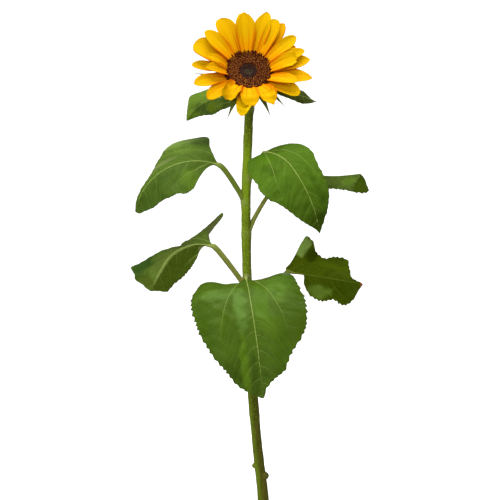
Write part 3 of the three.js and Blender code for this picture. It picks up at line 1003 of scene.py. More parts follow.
BRISTLE = np.array([[0.11, 0, 0], [-0.055, 0.095, 0], [-0.055, -0.095, 0], [0, 0, 1.0]])
BRISTLE_FACES = ((0, 1, 3), (1, 2, 3), (2, 0, 3), (2, 1, 0))
BRISTLE_FINISH = GrainFinish(srgb(136, 156, 54), srgb(176, 192, 92), scale=300.0, depth=0.05)


# Leaves


@dataclass(frozen=True)
class Half:
    """Half a blade.

    Margin holds its edge from foot to tip, along and out, in shares of the midrib's length. Fold and curl are
    the slope of its section at the midrib and how far it turns from there, in degrees, from foot to tip.
    """

    margin: tuple[tuple[float, float], ...]
    fold: Row
    curl: Row


@dataclass(frozen=True)
class Stalk:
    """Leaf stalk: where and how it leaves the stem, its pull at both ends, its radii and how tan it is."""

    z: float
    heading: float
    climb: float
    pull: tuple[float, float]
    radius: tuple[float, float]
    tan: float = 1.0

    def way(self) -> Array:
        """The way in which it leaves the stem."""
        a, e = math.radians(self.heading), math.radians(self.climb)
        return np.array([math.cos(e) * math.cos(a), math.cos(e) * math.sin(a), math.sin(e)])

    def outward(self) -> Array:
        """The level way from the stem's middle to its foot."""
        a = math.radians(self.heading)
        return np.array([math.cos(a), math.sin(a), 0.0])


@dataclass(frozen=True)
class Veins:
    """Veins and relief of a blade.

    The strong side vein of each half, left and right, leaves the midrib at leave and runs out to reach, the
    sooner the smaller bend is. The finer ones lie spacing apart and leave the midrib from first on. All five
    are shares of the length. Course is how far ahead a finer vein runs for its way out, and how fast that
    grows. Quilt, swell and ripple are how far the blade bulges between veins, beside the strong ones and at
    its margin, and sag how far it dips beside its foot, in mm.
    """

    reach: tuple[float, float] = (0.3, 0.3)
    bend: Row = (0.25, 0.25)
    spacing: float = 0.17
    first: tuple[float, float] = (0.28, 0.24)
    course: tuple[float, float] = (0.6, 2.5)
    quilt: float = 0.7
    swell: float = 0.9
    ripple: float = 1.0
    waves: float = 2.4
    leave: Row = (0.0, 0.0)
    sag: float = 0.0


@dataclass
class Leaf:
    """One leaf: a veined and puckered blade with a toothed margin, and the stalk that is also its midrib.

    Tooth and tooth_pitch are the size and distance of its teeth and fineness the length of a face, in mm.
    Breadth is its usual half width in shares of the length. A slant above 1 packs the rows of faces closer at
    the foot. Stalk_steps, midrib_steps and sides are the stretches along the stalk, along the midrib and
    round both.
    """

    name: str
    foot: tuple[float, float, float]
    length: float
    heading: Row
    rise: Row
    roll: Row
    left: Half
    right: Half
    stalk: Stalk
    finish: LeafFinish
    veins: Veins
    tooth: float
    seed: int
    tooth_pitch: float = 8.0
    tooth_sizes: tuple[float, float] = (0.65, 1.3)
    fineness: float = 1.1
    thickness: float = 0.6
    breadth: float = 0.42
    slant: float = 1.5
    stalk_steps: int = 60
    midrib_steps: int = 120
    sides: int = 28

    def rib(self) -> Rib:
        """The blade's midrib."""
        return Rib(np.array(self.foot, float), self.length, self.heading, self.rise, self.roll)

    def teeth(self, edge: Array, seed: int) -> Array:
        """How far each point of a margin is drawn out or in by its teeth, which point to the tip.

        Args:
            edge: the plain margin from foot to tip, in mm.
            seed: number that fixes how the teeth differ.

        Returns:
            The distances, in mm.
        """
        run = np.linspace(0, 1, len(edge))
        total = np.linalg.norm(np.diff(edge, axis=0), axis=1).sum()
        uneven = 0.35 * np.sin(run * total / 13.0 + seed) + 0.2 * np.sin(run * total / 5.3 + 2 * seed)
        place = run * total / self.tooth_pitch + uneven + 2
        sizes = np.random.default_rng(seed).uniform(*self.tooth_sizes, int(place.max()) + 3)
        size = sizes[place.astype(int)]
        part = place % 1.0
        rise = np.where(part < 0.8, (part / 0.8) ** 1.5, (1 - part) / 0.2)
        where = smooth(run, 0.2, 0.45) * (1 - smooth(run, 0.94, 0.99))
        return self.tooth * size * (rise - 0.45) * where

    def grid(self) -> tuple[Array, Array, Array]:
        """Rows and columns of the blade, the left margin first.

        Returns:
            How far along and how far out each point lies, in mm, and its share of the way to the margin.
        """
        rows = round(1.35 * self.length / self.fineness)
        columns = round(self.breadth * self.length / (1.2 * self.fineness))
        middle = self.length * (np.arange(rows + 1) / rows) ** self.slant
        share = np.linspace(0, 1, columns + 1)[None, :]
        parts = []
        for number, (half, way) in enumerate(((self.left, 1.0), (self.right, -1.0))):
            edge = smooth_line([(0, 0), *half.margin, (1, 0)], rows) * self.length
            teeth = self.teeth(edge, self.seed + number)[:, None] * share**5
            u = middle[:, None] * (1 - share) + edge[:, :1] * share
            v = way * np.maximum(edge[:, 1:] * share + teeth, 0.0)
            parts.append((u, v, np.broadcast_to(share, u.shape)))
        left, right = parts
        u, v, s = (np.hstack([a[:, ::-1], b[:, 1:]]) for a, b in zip(left, right))
        return u, v, s

    def notes(self, u: Array, v: Array) -> dict[str, Array]:
        """Where each point lies among the veins, for the material and the relief.

        Args:
            u: how far along each point lies, in mm.
            v: how far out, in mm, to the left where positive.

        Returns:
            The share along, the way out, the distance past the strong vein in mm, and the numbers of the
            finer veins on its inner and its outer side.
        """
        a, b = u / self.length, np.abs(v) / self.length
        veins = self.veins
        reach = np.where(v > 0, *veins.reach)
        bend = np.where(v > 0, *veins.bend)
        fall = np.exp(-np.maximum(a - np.where(v > 0, *veins.leave), -0.1) / bend)
        slope = reach / bend * fall
        course = reach * (1 - fall)
        basal = (b - course) / np.sqrt(1 + slope**2) * self.length
        shift = -np.where(v > 0, *veins.first) / veins.spacing + 1
        inner = (a - veins.course[0] * b - veins.course[1] * b * b) / veins.spacing + shift
        outer = (a - 0.3 * (b - course)) / veins.spacing + shift + 0.4
        return {"along": a, "out": v, "basal": basal, "inner": inner, "outer": outer}

    def relief(self, u: Array, v: Array, share: Array, notes: dict[str, Array]) -> Array:
        """How far the blade stands off its plain section: puckers, swells and a rippled margin.

        Args:
            u: how far along each point lies, in mm.
            v: how far out, in mm, to the left where positive.
            share: its share of the way to the margin.
            notes: where it lies among the veins.

        Returns:
            The distances, in mm.
        """
        veins = self.veins
        past = smooth(notes["basal"], -2.0, 2.0)
        started = smooth(notes["inner"], 0.4, 1.2)
        quilt = np.abs(np.sin(np.pi * notes["inner"])) * (1 - past) * started
        quilt += np.abs(np.sin(np.pi * notes["outer"])) * past
        clear = smooth(np.abs(v), 1.0, 9.0) * (1 - smooth(share, 0.8, 1.0) * 0.7)
        seam = smooth(np.abs(notes["basal"]), 0.0, 9.0) - 1
        places = np.stack([u, v], axis=-1)
        lift = veins.quilt * (quilt - 0.6) * clear * (0.6 + 0.4 * seam)
        lift += veins.swell * seam * smooth(np.abs(v), 1.0, 8.0) * (1 - smooth(notes["along"], 0.4, 0.8))
        lift += 0.8 * veins.swell * wobble(places, 42.0, self.seed + 7) * smooth(np.abs(v), 0.0, 20.0)
        lift += 0.25 * veins.swell * wobble(places, 14.0, self.seed + 8) * smooth(np.abs(v), 0.0, 8.0)
        wave = np.sin(2 * np.pi * veins.waves * notes["along"] + self.seed + np.where(v > 0, 0.0, 2.1))
        lift += veins.ripple * wave * share**3 * smooth(notes["along"], -0.1, 0.3)
        b = np.abs(v) / self.length
        lift -= veins.sag * np.exp(-(((b - 0.15) / 0.07) ** 2) - (notes["along"] / 0.14) ** 2)
        return lift

    def blade(self) -> bpy.types.Object:
        """Makes the blade.

        Returns:
            The piece.
        """
        u, v, share = self.grid()
        notes = self.notes(u, v)
        t = notes["along"]
        fold = np.where(v > 0, along(self.left.fold, t), along(self.right.fold, t))
        curl = np.where(v > 0, along(self.left.curl, t), along(self.right.curl, t))
        lift = self.relief(u, v, share, notes)
        points = self.rib().beside(u, v, lift, fold, curl, self.breadth * self.length)
        piece = shape_piece(f"blade_{self.name}", points, notes)
        spacing = self.veins.spacing * self.length
        for face, upper in (("upper", True), ("lower", False)):
            skin = self.finish.material(f"leaf_{face}_{self.name}", upper, self.length, spacing)
            piece.data.materials.append(skin)
        thicken(piece, self.thickness, second_finish=True)
        return piece

    def course(self, stem: Stem) -> tuple[Array, Array, Array]:
        """Course of the stalk and of the midrib that it runs on as.

        Args:
            stem: the stem that carries the leaf.

        Returns:
            The points of its middle line and its radius at each, in mm, and how far it is midrib there.
        """
        rib = self.rib()
        foot, ahead, _, _ = (part[0] for part in rib.at(np.zeros(1)))
        start = stem.axis(self.stalk.z)
        leave, arrive = self.stalk.pull
        marks = (start, start + self.stalk.way() * leave, foot - ahead * arrive, foot)
        free = bezier(marks, self.stalk_steps)
        reach = np.linspace(0, 0.9, self.midrib_steps)[1:] * self.length
        under, _, _, ups = rib.at(reach)
        first_radius, end_radius = self.stalk.radius
        left = 1 - reach / self.length
        thin = 0.2 + 0.8 * left**1.6 + (end_radius - 1.0) * np.exp(-reach / 5.0)
        sink = smooth(reach, 0.0, 10.0) * (thin - 0.3 - 0.15 * left)
        line = np.vstack([free, under - ups * sink[:, None]])
        t = np.linspace(0, 1, len(free))
        flare = 2.2 * np.maximum(0, 1 - 3.4 * t) ** 2
        plain = first_radius + (end_radius - first_radius) * t + flare
        ribbed = np.concatenate([smooth(t, 0.9, 1.0) * 0.4, 0.4 + 0.6 * smooth(reach, 0, 20)])
        return line, np.concatenate([plain, thin]), ribbed

    def limb(self, stem: Stem) -> bpy.types.Object:
        """Makes the stalk, grooved on top, which runs on along the blade as its midrib.

        Args:
            stem: the stem that carries the leaf.

        Returns:
            The piece.
        """
        line, radius, ribbed = self.course(stem)
        up = self.rib().axes(np.zeros(1))[2][0]
        out, across = (ways[::-1] for ways in carried(line[::-1], up))
        turn = np.linspace(-np.pi, np.pi, self.sides + 1)
        groove = -0.2 * np.exp(-((turn / 0.55) ** 2))
        free = 1 - smooth(np.arange(len(line)) - self.stalk_steps, -10, 6)
        section = radius[:, None] * (1 + groove[None, :] * free[:, None])
        ring = ring_ways(out, -across, turn)
        points = line[:, None, :] + ring * section[..., None]
        points += ring * (0.05 * wobble(points, 5.0, self.seed))[..., None]
        run = np.linspace(0, 1, len(line)) * 6
        wide = section.shape
        notes = {
            "along": ends_doubled(np.broadcast_to(run[:, None], wide)),
            "round": ends_doubled(np.broadcast_to(np.abs(turn), wide)),
            "rib": ends_doubled(np.broadcast_to(ribbed[:, None], wide)),
        }
        return shape_piece(f"petiole_{self.name}", closed_ends(points), notes)

    def build(self, stem: Stem) -> None:
        """Makes the leaf's pieces.

        Args:
            stem: the stem that carries it.
        """
        finish_piece(self.blade(), "leaf", nodes=(f"leaf_{self.name}",))
        skin = StalkFinish(self.finish.vein, self.stalk.tan).material(f"stalk_{self.name}")
        finish_piece(self.limb(stem), "stalk", skin, nodes=(f"stalk_{self.name}",))


LEAVES = (
    Leaf(
        "collar_left",
        foot=(-29.5, 8, 485.7), length=74, heading=(186, 200), rise=(15, -62), roll=(-35, -25),
        left=Half(
            margin=((0.04, 0.15), (0.28, 0.31), (0.58, 0.34), (0.78, 0.26), (0.92, 0.12)),
            fold=(0, 0), curl=(-25, -35),
        ),
        right=Half(
            margin=(
                (-0.05, 0.18), (0.05, 0.37), (0.24, 0.47), (0.38, 0.51), (0.5, 0.51), (0.61, 0.44),
                (0.72, 0.28), (0.9, 0.09),
            ),
            fold=(5, 5), curl=(-15, -15),
        ),
        stalk=Stalk(z=474, heading=170, climb=35, pull=(6, 8), radius=(2.2, 1.7)),
        finish=LeafFinish(
            srgb(98, 126, 38), srgb(52, 74, 2), sides=(0.6, 0.1), shade=0.3, gloss=0.05,
            # Patches of painted light and painted shade.
            patches=(
                Patch(0.35, -0.12, (0.2, 0.1), srgb(96, 112, 0), 0.6),
                Patch(0.7, 0.1, (0.14, 0.3), srgb(40, 62, 10), 0.7),
                Patch(0.45, 0.2, (0.2, 0.12), srgb(92, 114, 4), 0.7),
                Patch(0.12, 0.1, (0.16, 0.2), srgb(66, 84, 4), 0.7),
            ),
        ),
        veins=Veins(reach=(0.26, 0.26)),
        tooth=0.8, seed=21,
    ),
    Leaf(
        "collar_right",
        foot=(-1.7, 8, 498.9), length=70, heading=(-8, -16), rise=(-4, -26), roll=(30, 30),
        left=Half(
            margin=((-0.06, 0.15), (0.05, 0.34), (0.3, 0.36), (0.63, 0.2), (0.82, 0.07)),
            fold=(0, 0), curl=(-10, -5),
        ),
        right=Half(
            margin=((0.0, 0.03), (0.1, 0.04), (0.35, 0.08), (0.6, 0.125), (0.8, 0.135), (0.95, 0.07)),
            fold=(-60, -20), curl=(-15, -10),
        ),
        stalk=Stalk(z=474, heading=25, climb=55, pull=(12, 12), radius=(2.2, 1.7)),
        finish=LeafFinish(srgb(64, 72, 14), srgb(44, 54, 4), shade=0.3),
        veins=Veins(reach=(0.2, 0.2)),
        tooth=0.6, seed=22,
    ),
    Leaf(
        "upper_left",
        foot=(-51.8, -18, 404.5), length=130, heading=(186, 202), rise=(20, -78), roll=(-45, -35),
        left=Half(
            margin=(
                (0.095, 0.05), (0.178, 0.17), (0.285, 0.29), (0.38, 0.321), (0.5, 0.328), (0.58, 0.294),
                (0.68, 0.275), (0.81, 0.221), (0.92, 0.184), (0.975, 0.12), (1.015, 0.045),
            ),
            fold=(-5, -5), curl=(-35, -20),
        ),
        right=Half(
            margin=(
                (0.038, 0.05), (0.075, 0.13), (0.103, 0.25), (0.1, 0.4), (0.12, 0.477), (0.186, 0.51),
                (0.258, 0.495), (0.33, 0.43), (0.4, 0.352), (0.455, 0.255), (0.515, 0.178), (0.64, 0.078),
                (0.79, 0.038), (0.93, 0.025),
            ),
            fold=(8, -5, -20), curl=(-25, -30, -30),
        ),
        stalk=Stalk(z=361, heading=200, climb=54, pull=(18, 8), radius=(3.2, 3.2), tan=0.2),
        finish=LeafFinish(
            srgb(84, 110, 34), srgb(50, 72, 14), strength=0.35, sides=(0.45, 0.2), shade=0.3,
            # Patches of painted light and painted shade.
            patches=(
                Patch(0.26, -0.4, (0.3, 0.12), srgb(114, 138, 66), 0.7),
                Patch(0.18, -0.2, (0.2, 0.12), srgb(102, 134, 48), 0.6),
                Patch(0.6, -0.1, (0.3, 0.04), srgb(112, 122, 72), 0.75),
                Patch(0.32, 0.2, (0.16, 0.12), srgb(86, 116, 26), 0.7),
                Patch(0.62, 0.08, (0.22, 0.07), srgb(50, 74, 14), 0.6),
            ),
        ),
        veins=Veins(reach=(0.25, 0.235), bend=(0.3, 0.13), leave=(0.08, 0.0)),
        tooth=0.9, seed=31,
    ),
    Leaf(
        "upper_front",
        foot=(1.4, -42, 418.2), length=127, heading=(-31, -12), rise=(-2, -52, -66, -82), roll=(50, 56),
        left=Half(
            margin=(
                (0.02, 0.04), (0.065, 0.135), (0.145, 0.231), (0.215, 0.291), (0.3, 0.293), (0.36, 0.264),
                (0.48, 0.243), (0.6, 0.235), (0.68, 0.218), (0.78, 0.172), (0.9, 0.082),
            ),
            fold=(-15, 0, -25), curl=(-30, -25, -20),
        ),
        right=Half(
            margin=(
                (-0.03, 0.03), (-0.08, 0.07), (-0.115, 0.11), (-0.1, 0.2), (-0.04, 0.288), (0.07, 0.34),
                (0.19, 0.349), (0.375, 0.378), (0.53, 0.352), (0.615, 0.294), (0.74, 0.22), (0.84, 0.164),
                (0.91, 0.098), (0.96, 0.036),
            ),
            fold=(0, 5), curl=(-20, -10),
        ),
        stalk=Stalk(z=390, heading=345, climb=20, pull=(10, 3), radius=(2.6, 1.6)),
        finish=LeafFinish(
            srgb(84, 118, 26), srgb(46, 66, 2), strength=0.25, sides=(0.15, 0.2), shade=0.75,
            # Patches of painted light and painted shade, darkest at the tip.
            patches=(
                Patch(0.2, -0.17, (0.16, 0.06), srgb(56, 84, 8), 0.6),
                Patch(0.06, -0.08, (0.12, 0.08), srgb(84, 126, 10), 0.6),
                Patch(0.97, 0.02, (0.2, 0.2), srgb(44, 60, 2), 0.8),
                Patch(0.62, 0.12, (0.3, 0.04), srgb(52, 78, 6), 0.5),
            ),
        ),
        veins=Veins(reach=(0.22, 0.26), spacing=0.16),
        tooth=1.0, seed=42,
    ),
    Leaf(
        "upper_right",
        foot=(25.3, 28, 386.1), length=110, heading=(-35, -35), rise=(10, 10, 2, -4, 3, 4), roll=(0, 0),
        left=Half(
            margin=(
                (-0.04, 0.14), (0.1, 0.2), (0.4, 0.2), (0.72, 0.235), (0.86, 0.293), (0.95, 0.29),
                (0.98, 0.18), (1.0, 0.1),
            ),
            fold=(-30, -30), curl=(-25, -25),
        ),
        right=Half(
            margin=(
                (-0.04, 0.12), (0.1, 0.19), (0.4, 0.205), (0.68, 0.215), (0.82, 0.24), (0.95, 0.265),
                (1.01, 0.285), (1.03, 0.27), (1.005, 0.24), (1.02, 0.21), (1.0, 0.18), (1.015, 0.15),
                (1.0, 0.12), (1.015, 0.07),
            ),
            fold=(-32, -34), curl=(-25, -25),
        ),
        stalk=Stalk(z=323.5, heading=30, climb=60, pull=(32, 18), radius=(3.1, 2.6)),
        finish=LeafFinish(
            srgb(66, 84, 26), srgb(54, 72, 6), below=srgb(104, 132, 20), strength=0.2, sides=(0.9, 0.1),
            shade=0.1,
            # Patches of painted shade and painted light.
            patches=(
                Patch(0.68, -0.2, (0.16, 0.05), srgb(52, 66, 8), 0.8),
                Patch(0.9, -0.12, (0.12, 0.1), srgb(76, 102, 22), 0.7),
            ),
        ),
        veins=Veins(reach=(0.22, 0.22), spacing=0.16),
        tooth=2.0, tooth_pitch=6.0, seed=51,
    ),
    Leaf(
        "lower_left",
        foot=(-58.4, -20, 307.9), length=103, heading=(188, 203), rise=(18, -20, -60, -64), roll=(-25, -25),
        left=Half(
            margin=(
                (0.15, 0.025), (0.18, 0.042), (0.194, 0.1), (0.222, 0.167), (0.294, 0.222), (0.4, 0.264),
                (0.54, 0.278), (0.68, 0.27), (0.82, 0.212), (0.93, 0.178), (0.965, 0.08),
            ),
            fold=(-30, -30), curl=(-30, -15),
        ),
        right=Half(
            margin=(
                (0.068, 0.11), (0.072, 0.23), (0.058, 0.36), (0.012, 0.44), (-0.03, 0.485), (-0.012, 0.518),
                (0.045, 0.4), (0.11, 0.29), (0.17, 0.218), (0.235, 0.218), (0.3, 0.285), (0.38, 0.31),
                (0.47, 0.287), (0.56, 0.291), (0.65, 0.35), (0.76, 0.448), (0.815, 0.508), (0.85, 0.44),
                (0.89, 0.35), (0.93, 0.31), (0.96, 0.155), (0.985, 0.08),
            ),
            fold=(26, -20, 0, 5), curl=(5, -5, -5),
        ),
        stalk=Stalk(z=256, heading=200, climb=54, pull=(19, 5), radius=(3.1, 3.4)),
        finish=LeafFinish(
            srgb(100, 122, 46), srgb(58, 74, 6), below=srgb(112, 116, 70), strength=0.3, sides=(1.0, 0.1),
            shade=0.25,
            # Patches of painted shade and painted light.
            patches=(
                Patch(0.76, -0.36, (0.22, 0.2), srgb(48, 78, 22), 0.95, 0.8),
                Patch(0.93, -0.14, (0.12, 0.2), srgb(64, 82, 14), 0.8),
                Patch(0.5, -0.24, (0.2, 0.05), srgb(78, 108, 26), 0.7),
                Patch(0.1, -0.4, (0.14, 0.16), srgb(92, 102, 54), 0.9),
                Patch(0.55, 0.0, (0.4, 0.03), srgb(124, 142, 70), 0.7, 0.7),
            ),
        ),
        veins=Veins(reach=(0.26, 0.34), bend=(0.3, 0.3)),
        tooth=1.2, seed=61,
    ),
    Leaf(
        "heart_front",
        foot=(-19.7, -42, 270.6), length=160.5, heading=(-84, -61), rise=(-20, -50, -64, -74, -80),
        roll=(5, 28),
        left=Half(
            margin=(
                (0.06, 0.045), (0.085, 0.11), (0.075, 0.155), (0.04, 0.205), (0.005, 0.25), (0.002, 0.3),
                (0.055, 0.343), (0.145, 0.362), (0.235, 0.381), (0.34, 0.391), (0.45, 0.38), (0.52, 0.365),
                (0.6, 0.32), (0.67, 0.262), (0.74, 0.212), (0.82, 0.174), (0.868, 0.103), (0.905, 0.058),
                (0.945, 0.026), (0.985, 0.012),
            ),
            fold=(12, 6, 2), curl=(-28, -15),
        ),
        right=Half(
            margin=(
                (0.05, 0.04), (0.09, 0.08), (0.095, 0.135), (0.075, 0.185), (0.03, 0.23), (-0.01, 0.29),
                (-0.002, 0.335), (0.05, 0.37), (0.12, 0.412), (0.24, 0.43), (0.36, 0.417), (0.46, 0.4),
                (0.56, 0.363), (0.69, 0.304), (0.79, 0.237), (0.89, 0.173), (0.95, 0.097), (0.99, 0.025),
            ),
            fold=(8, 4, 2), curl=(-28, -15),
        ),
        stalk=Stalk(z=268, heading=270, climb=25, pull=(14, 12), radius=(3.0, 2.2)),
        finish=LeafFinish(
            srgb(75, 103, 18), srgb(46, 66, 4), strength=0.35, sides=(0.35, 0.35), shade=0.3, gloss=0.1,
            matt=0.34,
            # Patches of painted sheen, painted light and painted shade.
            patches=(
                Patch(0.14, 0.24, (0.2, 0.18), srgb(94, 130, 40), 0.7),
                Patch(0.3, 0.07, (0.24, 0.07), srgb(84, 120, 20), 0.5),
                Patch(0.31, -0.08, (0.24, 0.06), srgb(98, 134, 54), 0.55),
                Patch(0.16, -0.24, (0.07, 0.16), srgb(92, 126, 46), 0.5),
                Patch(0.34, -0.36, (0.07, 0.12), srgb(86, 118, 36), 0.2),
                Patch(0.26, -0.4, (0.05, 0.14), srgb(56, 82, 10), 0.6),
                Patch(0.5, -0.34, (0.3, 0.1), srgb(54, 80, 6), 0.6),
                Patch(0.78, -0.1, (0.28, 0.04), srgb(84, 116, 14), 0.7),
                Patch(0.84, -0.04, (0.24, 0.025), srgb(50, 72, 6), 0.8),
                Patch(0.42, 0.33, (0.34, 0.13), srgb(58, 80, 6), 0.7),
                Patch(0.5, 0.12, (0.14, 0.08), srgb(76, 104, 16), 0.5),
            ),
        ),
        veins=Veins(
            reach=(0.28, 0.305), bend=(0.3, 0.3), spacing=0.115, first=(0.43, 0.4), course=(0.15, 6.0),
            quilt=1.0, swell=0.8, sag=2.6,
        ),
        tooth=2.4, seed=71,
    ),
    Leaf(
        "lower_right",
        foot=(30.1, -20, 278.1), length=92, heading=(-12, -24), rise=(-9, -9), roll=(35, 30),
        left=Half(
            margin=(
                (-0.04, 0.03), (0.0, 0.12), (0.035, 0.24), (0.065, 0.405), (0.095, 0.51), (0.115, 0.56),
                (0.165, 0.53), (0.21, 0.5), (0.225, 0.43), (0.26, 0.375), (0.31, 0.335), (0.4, 0.295),
                (0.52, 0.345), (0.65, 0.36), (0.7, 0.335), (0.72, 0.27), (0.755, 0.21), (0.8, 0.1),
                (0.87, 0.055), (0.95, 0.02),
            ),
            fold=(25, 12), curl=(5, 0),
        ),
        right=Half(
            margin=(
                (0.21, 0.005), (0.225, 0.04), (0.234, 0.115), (0.295, 0.21), (0.358, 0.271), (0.44, 0.302),
                (0.5, 0.317), (0.565, 0.307), (0.64, 0.28), (0.7, 0.278), (0.76, 0.31), (0.83, 0.33),
                (0.88, 0.313), (0.93, 0.26), (0.96, 0.182), (0.97, 0.11), (0.99, 0.04),
            ),
            fold=(-35, -25), curl=(-20, -20),
        ),
        stalk=Stalk(z=240, heading=-10, climb=12, pull=(20, 2), radius=(2.8, 2.9)),
        finish=LeafFinish(
            srgb(86, 104, 8), srgb(48, 62, 0), vein=srgb(98, 114, 28), strength=0.15, sides=(0.5, 0.6),
            shade=0.4, gloss=0.03,
            # Patches of painted light on the upper lobe and painted shade; the last is the red-brown of the
            # tip.
            patches=(
                Patch(0.09, 0.41, (0.105, 0.2), srgb(128, 156, 72), 0.9, 0.4),
                Patch(0.46, -0.2, (0.2, 0.11), srgb(98, 124, 40), 0.85, 0.9),
                Patch(0.5, 0.2, (0.24, 0.05), srgb(78, 96, 4), 0.8),
                Patch(0.3, 0.1, (0.2, 0.04), srgb(72, 88, 4), 0.7),
                Patch(0.24, 0.3, (0.12, 0.12), srgb(42, 54, 0), 0.8),
                Patch(1.0, 0.0, (0.05, 0.05), srgb(122, 62, 26), 0.9),
            ),
        ),
        veins=Veins(reach=(0.3, 0.3)),
        tooth=2.2, tooth_pitch=6.0, seed=81, slant=0.9,
    ),
)


# Flower head


@dataclass(frozen=True)
class PetalShape:
    """How a petal widens and ends, and how it strays from a plain one.

    Widest is the share of the length where it is widest. From there it narrows to the tip, with a longer
    point where taper is small and blunt large. Bend is its turn sideways and twist its turn about itself at
    the tip, in degrees. Notch is how far its tip is cut in beside the middle, and lop how far one side of the
    tip is longer.
    """

    widest: float = 0.58
    taper: float = 2.2
    blunt: float = 0.6
    fold: float = 6.0
    curl: float = 22.0
    bend: float = 0.0
    twist: float = 0.0
    notch: float = 0.0
    lop: float = 0.0

    def half_width(self, t: Array) -> Array:
        """Half the width along the petal.

        Args:
            t: shares of the length.

        Returns:
            Half the width at each, as a share of the widest.
        """
        start = 0.5 + 0.5 * np.sin(np.pi / 2 * np.minimum(t / self.widest, 1.0)) ** 1.3
        past = np.clip((t - self.widest) / (1 - self.widest), 0, 1)
        end = np.maximum(0.0, 1 - past**self.taper) ** self.blunt
        return np.where(t < self.widest, start, end)


@dataclass(frozen=True)
class Petal:
    """Petal in the head's frame: its foot's radius and height, then a sheet that widens and ends blunt."""

    angle: float
    length: float
    width: float
    rise: Row
    foot: float
    level: float
    shape: PetalShape

    def sheet(
        self, rows: int, columns: int, lift: Callable[[Array, Array], Array]
    ) -> tuple[Array, Array, Array]:
        """The petal's mesh.

        Args:
            rows: stretches from foot to tip.
            columns: stretches from side to side.
            lift: how far it stands off its section in mm, from the shares along and across.

        Returns:
            Its points in mm, and the shares along and across of each.
        """
        shape = self.shape
        t = 1 - (1 - np.linspace(0, 1, rows + 1)) ** 1.25
        run, cross = np.meshgrid(t, np.linspace(1, -1, columns + 1), indexing="ij")
        out = cross * shape.half_width(run) * self.width / 2
        turns = (0, 0.4 * shape.bend, shape.bend)
        rib = Rib(np.array([self.foot, 0, self.level]), self.length, turns, self.rise, (0, shape.twist))
        side = out / (self.width / 2)
        cut = shape.notch * (0.5 - 0.5 * np.cos(4 * np.pi * side)) - shape.lop * side
        distance = (run - cut * smooth(run, 0.75, 1.0)) * self.length
        flat = np.full_like(run, shape.fold), np.full_like(run, shape.curl)
        points = rib.beside(distance, out, lift(run, cross), *flat, self.width / 2)
        a = math.radians(self.angle)
        spin = np.array([[math.cos(a), math.sin(a), 0], [-math.sin(a), math.cos(a), 0], [0, 0, 1]])
        return HEAD.world(points @ spin), run, cross


class RayRow(Enum):
    """Which of the two rows a ray stands in, by its height on the head's axis."""

    FRONT = -0.6
    BACK = -3.6


@dataclass(frozen=True)
class Ray:
    """One ray floret: its angle round the disc, length, width and rise, its row, its shape, its painted shade
    and its rust.
    """

    name: str
    angle: float
    length: float
    width: float
    rise: Row
    row: RayRow
    shape: PetalShape = PetalShape()
    ray_shade: float = 0.0
    rusty: float = 0.0
    crumple: float = 0.0
    foot: float = 24.0
    thickness: float = 0.45

    def build(self, seed: int, finish: bpy.types.Material) -> None:
        """Makes the ray.

        Args:
            seed: number that fixes its pleats and ripples.
            finish: its material.
        """
        rng = np.random.default_rng(seed)
        depth, wave, phase = rng.uniform((0.4, 0.3, 0), (0.75, 0.9, 6.3))

        def lift(run: Array, cross: Array) -> Array:
            """Two long pleats that fade to the tip, and a rippled edge.

            Args:
                run: share of the way to the tip.
                cross: share of the way to the side, to the left where positive.

            Returns:
                How far it stands off its section, in mm.
            """
            pleats = -depth * np.exp(-(((np.abs(cross) - 0.36) / 0.13) ** 2)) * (1 - 0.7 * run)
            crown = 0.4 * np.exp(-((cross / 0.25) ** 2)) * (1 - run)
            ripple = wave * cross**2 * np.sin(7 * run + phase + 1.5 * cross) * smooth(run, 0.1, 0.5)
            places = np.stack([run * self.length, cross * self.width / 2], axis=-1)
            return pleats + crown + ripple + self.crumple * wobble(places, 11.0, seed) * smooth(run, 0.1, 0.5)

        petal = Petal(self.angle, self.length, self.width, self.rise, self.foot, self.row.value, self.shape)
        points, run, cross = petal.sheet(rows=44, columns=18, lift=lift)
        notes = {"run": run, "cross": cross}
        for key, value in (("own", seed * 3.7), ("ray_shade", self.ray_shade), ("rusty", self.rusty)):
            notes[key] = np.full_like(run, value)
        piece = shape_piece(f"petal_{self.name}", points, notes)
        thicken(piece, self.thickness)
        finish_piece(piece, "ray", finish, nodes=(f"ray_{self.name}",))


F, B = RayRow.FRONT, RayRow.BACK
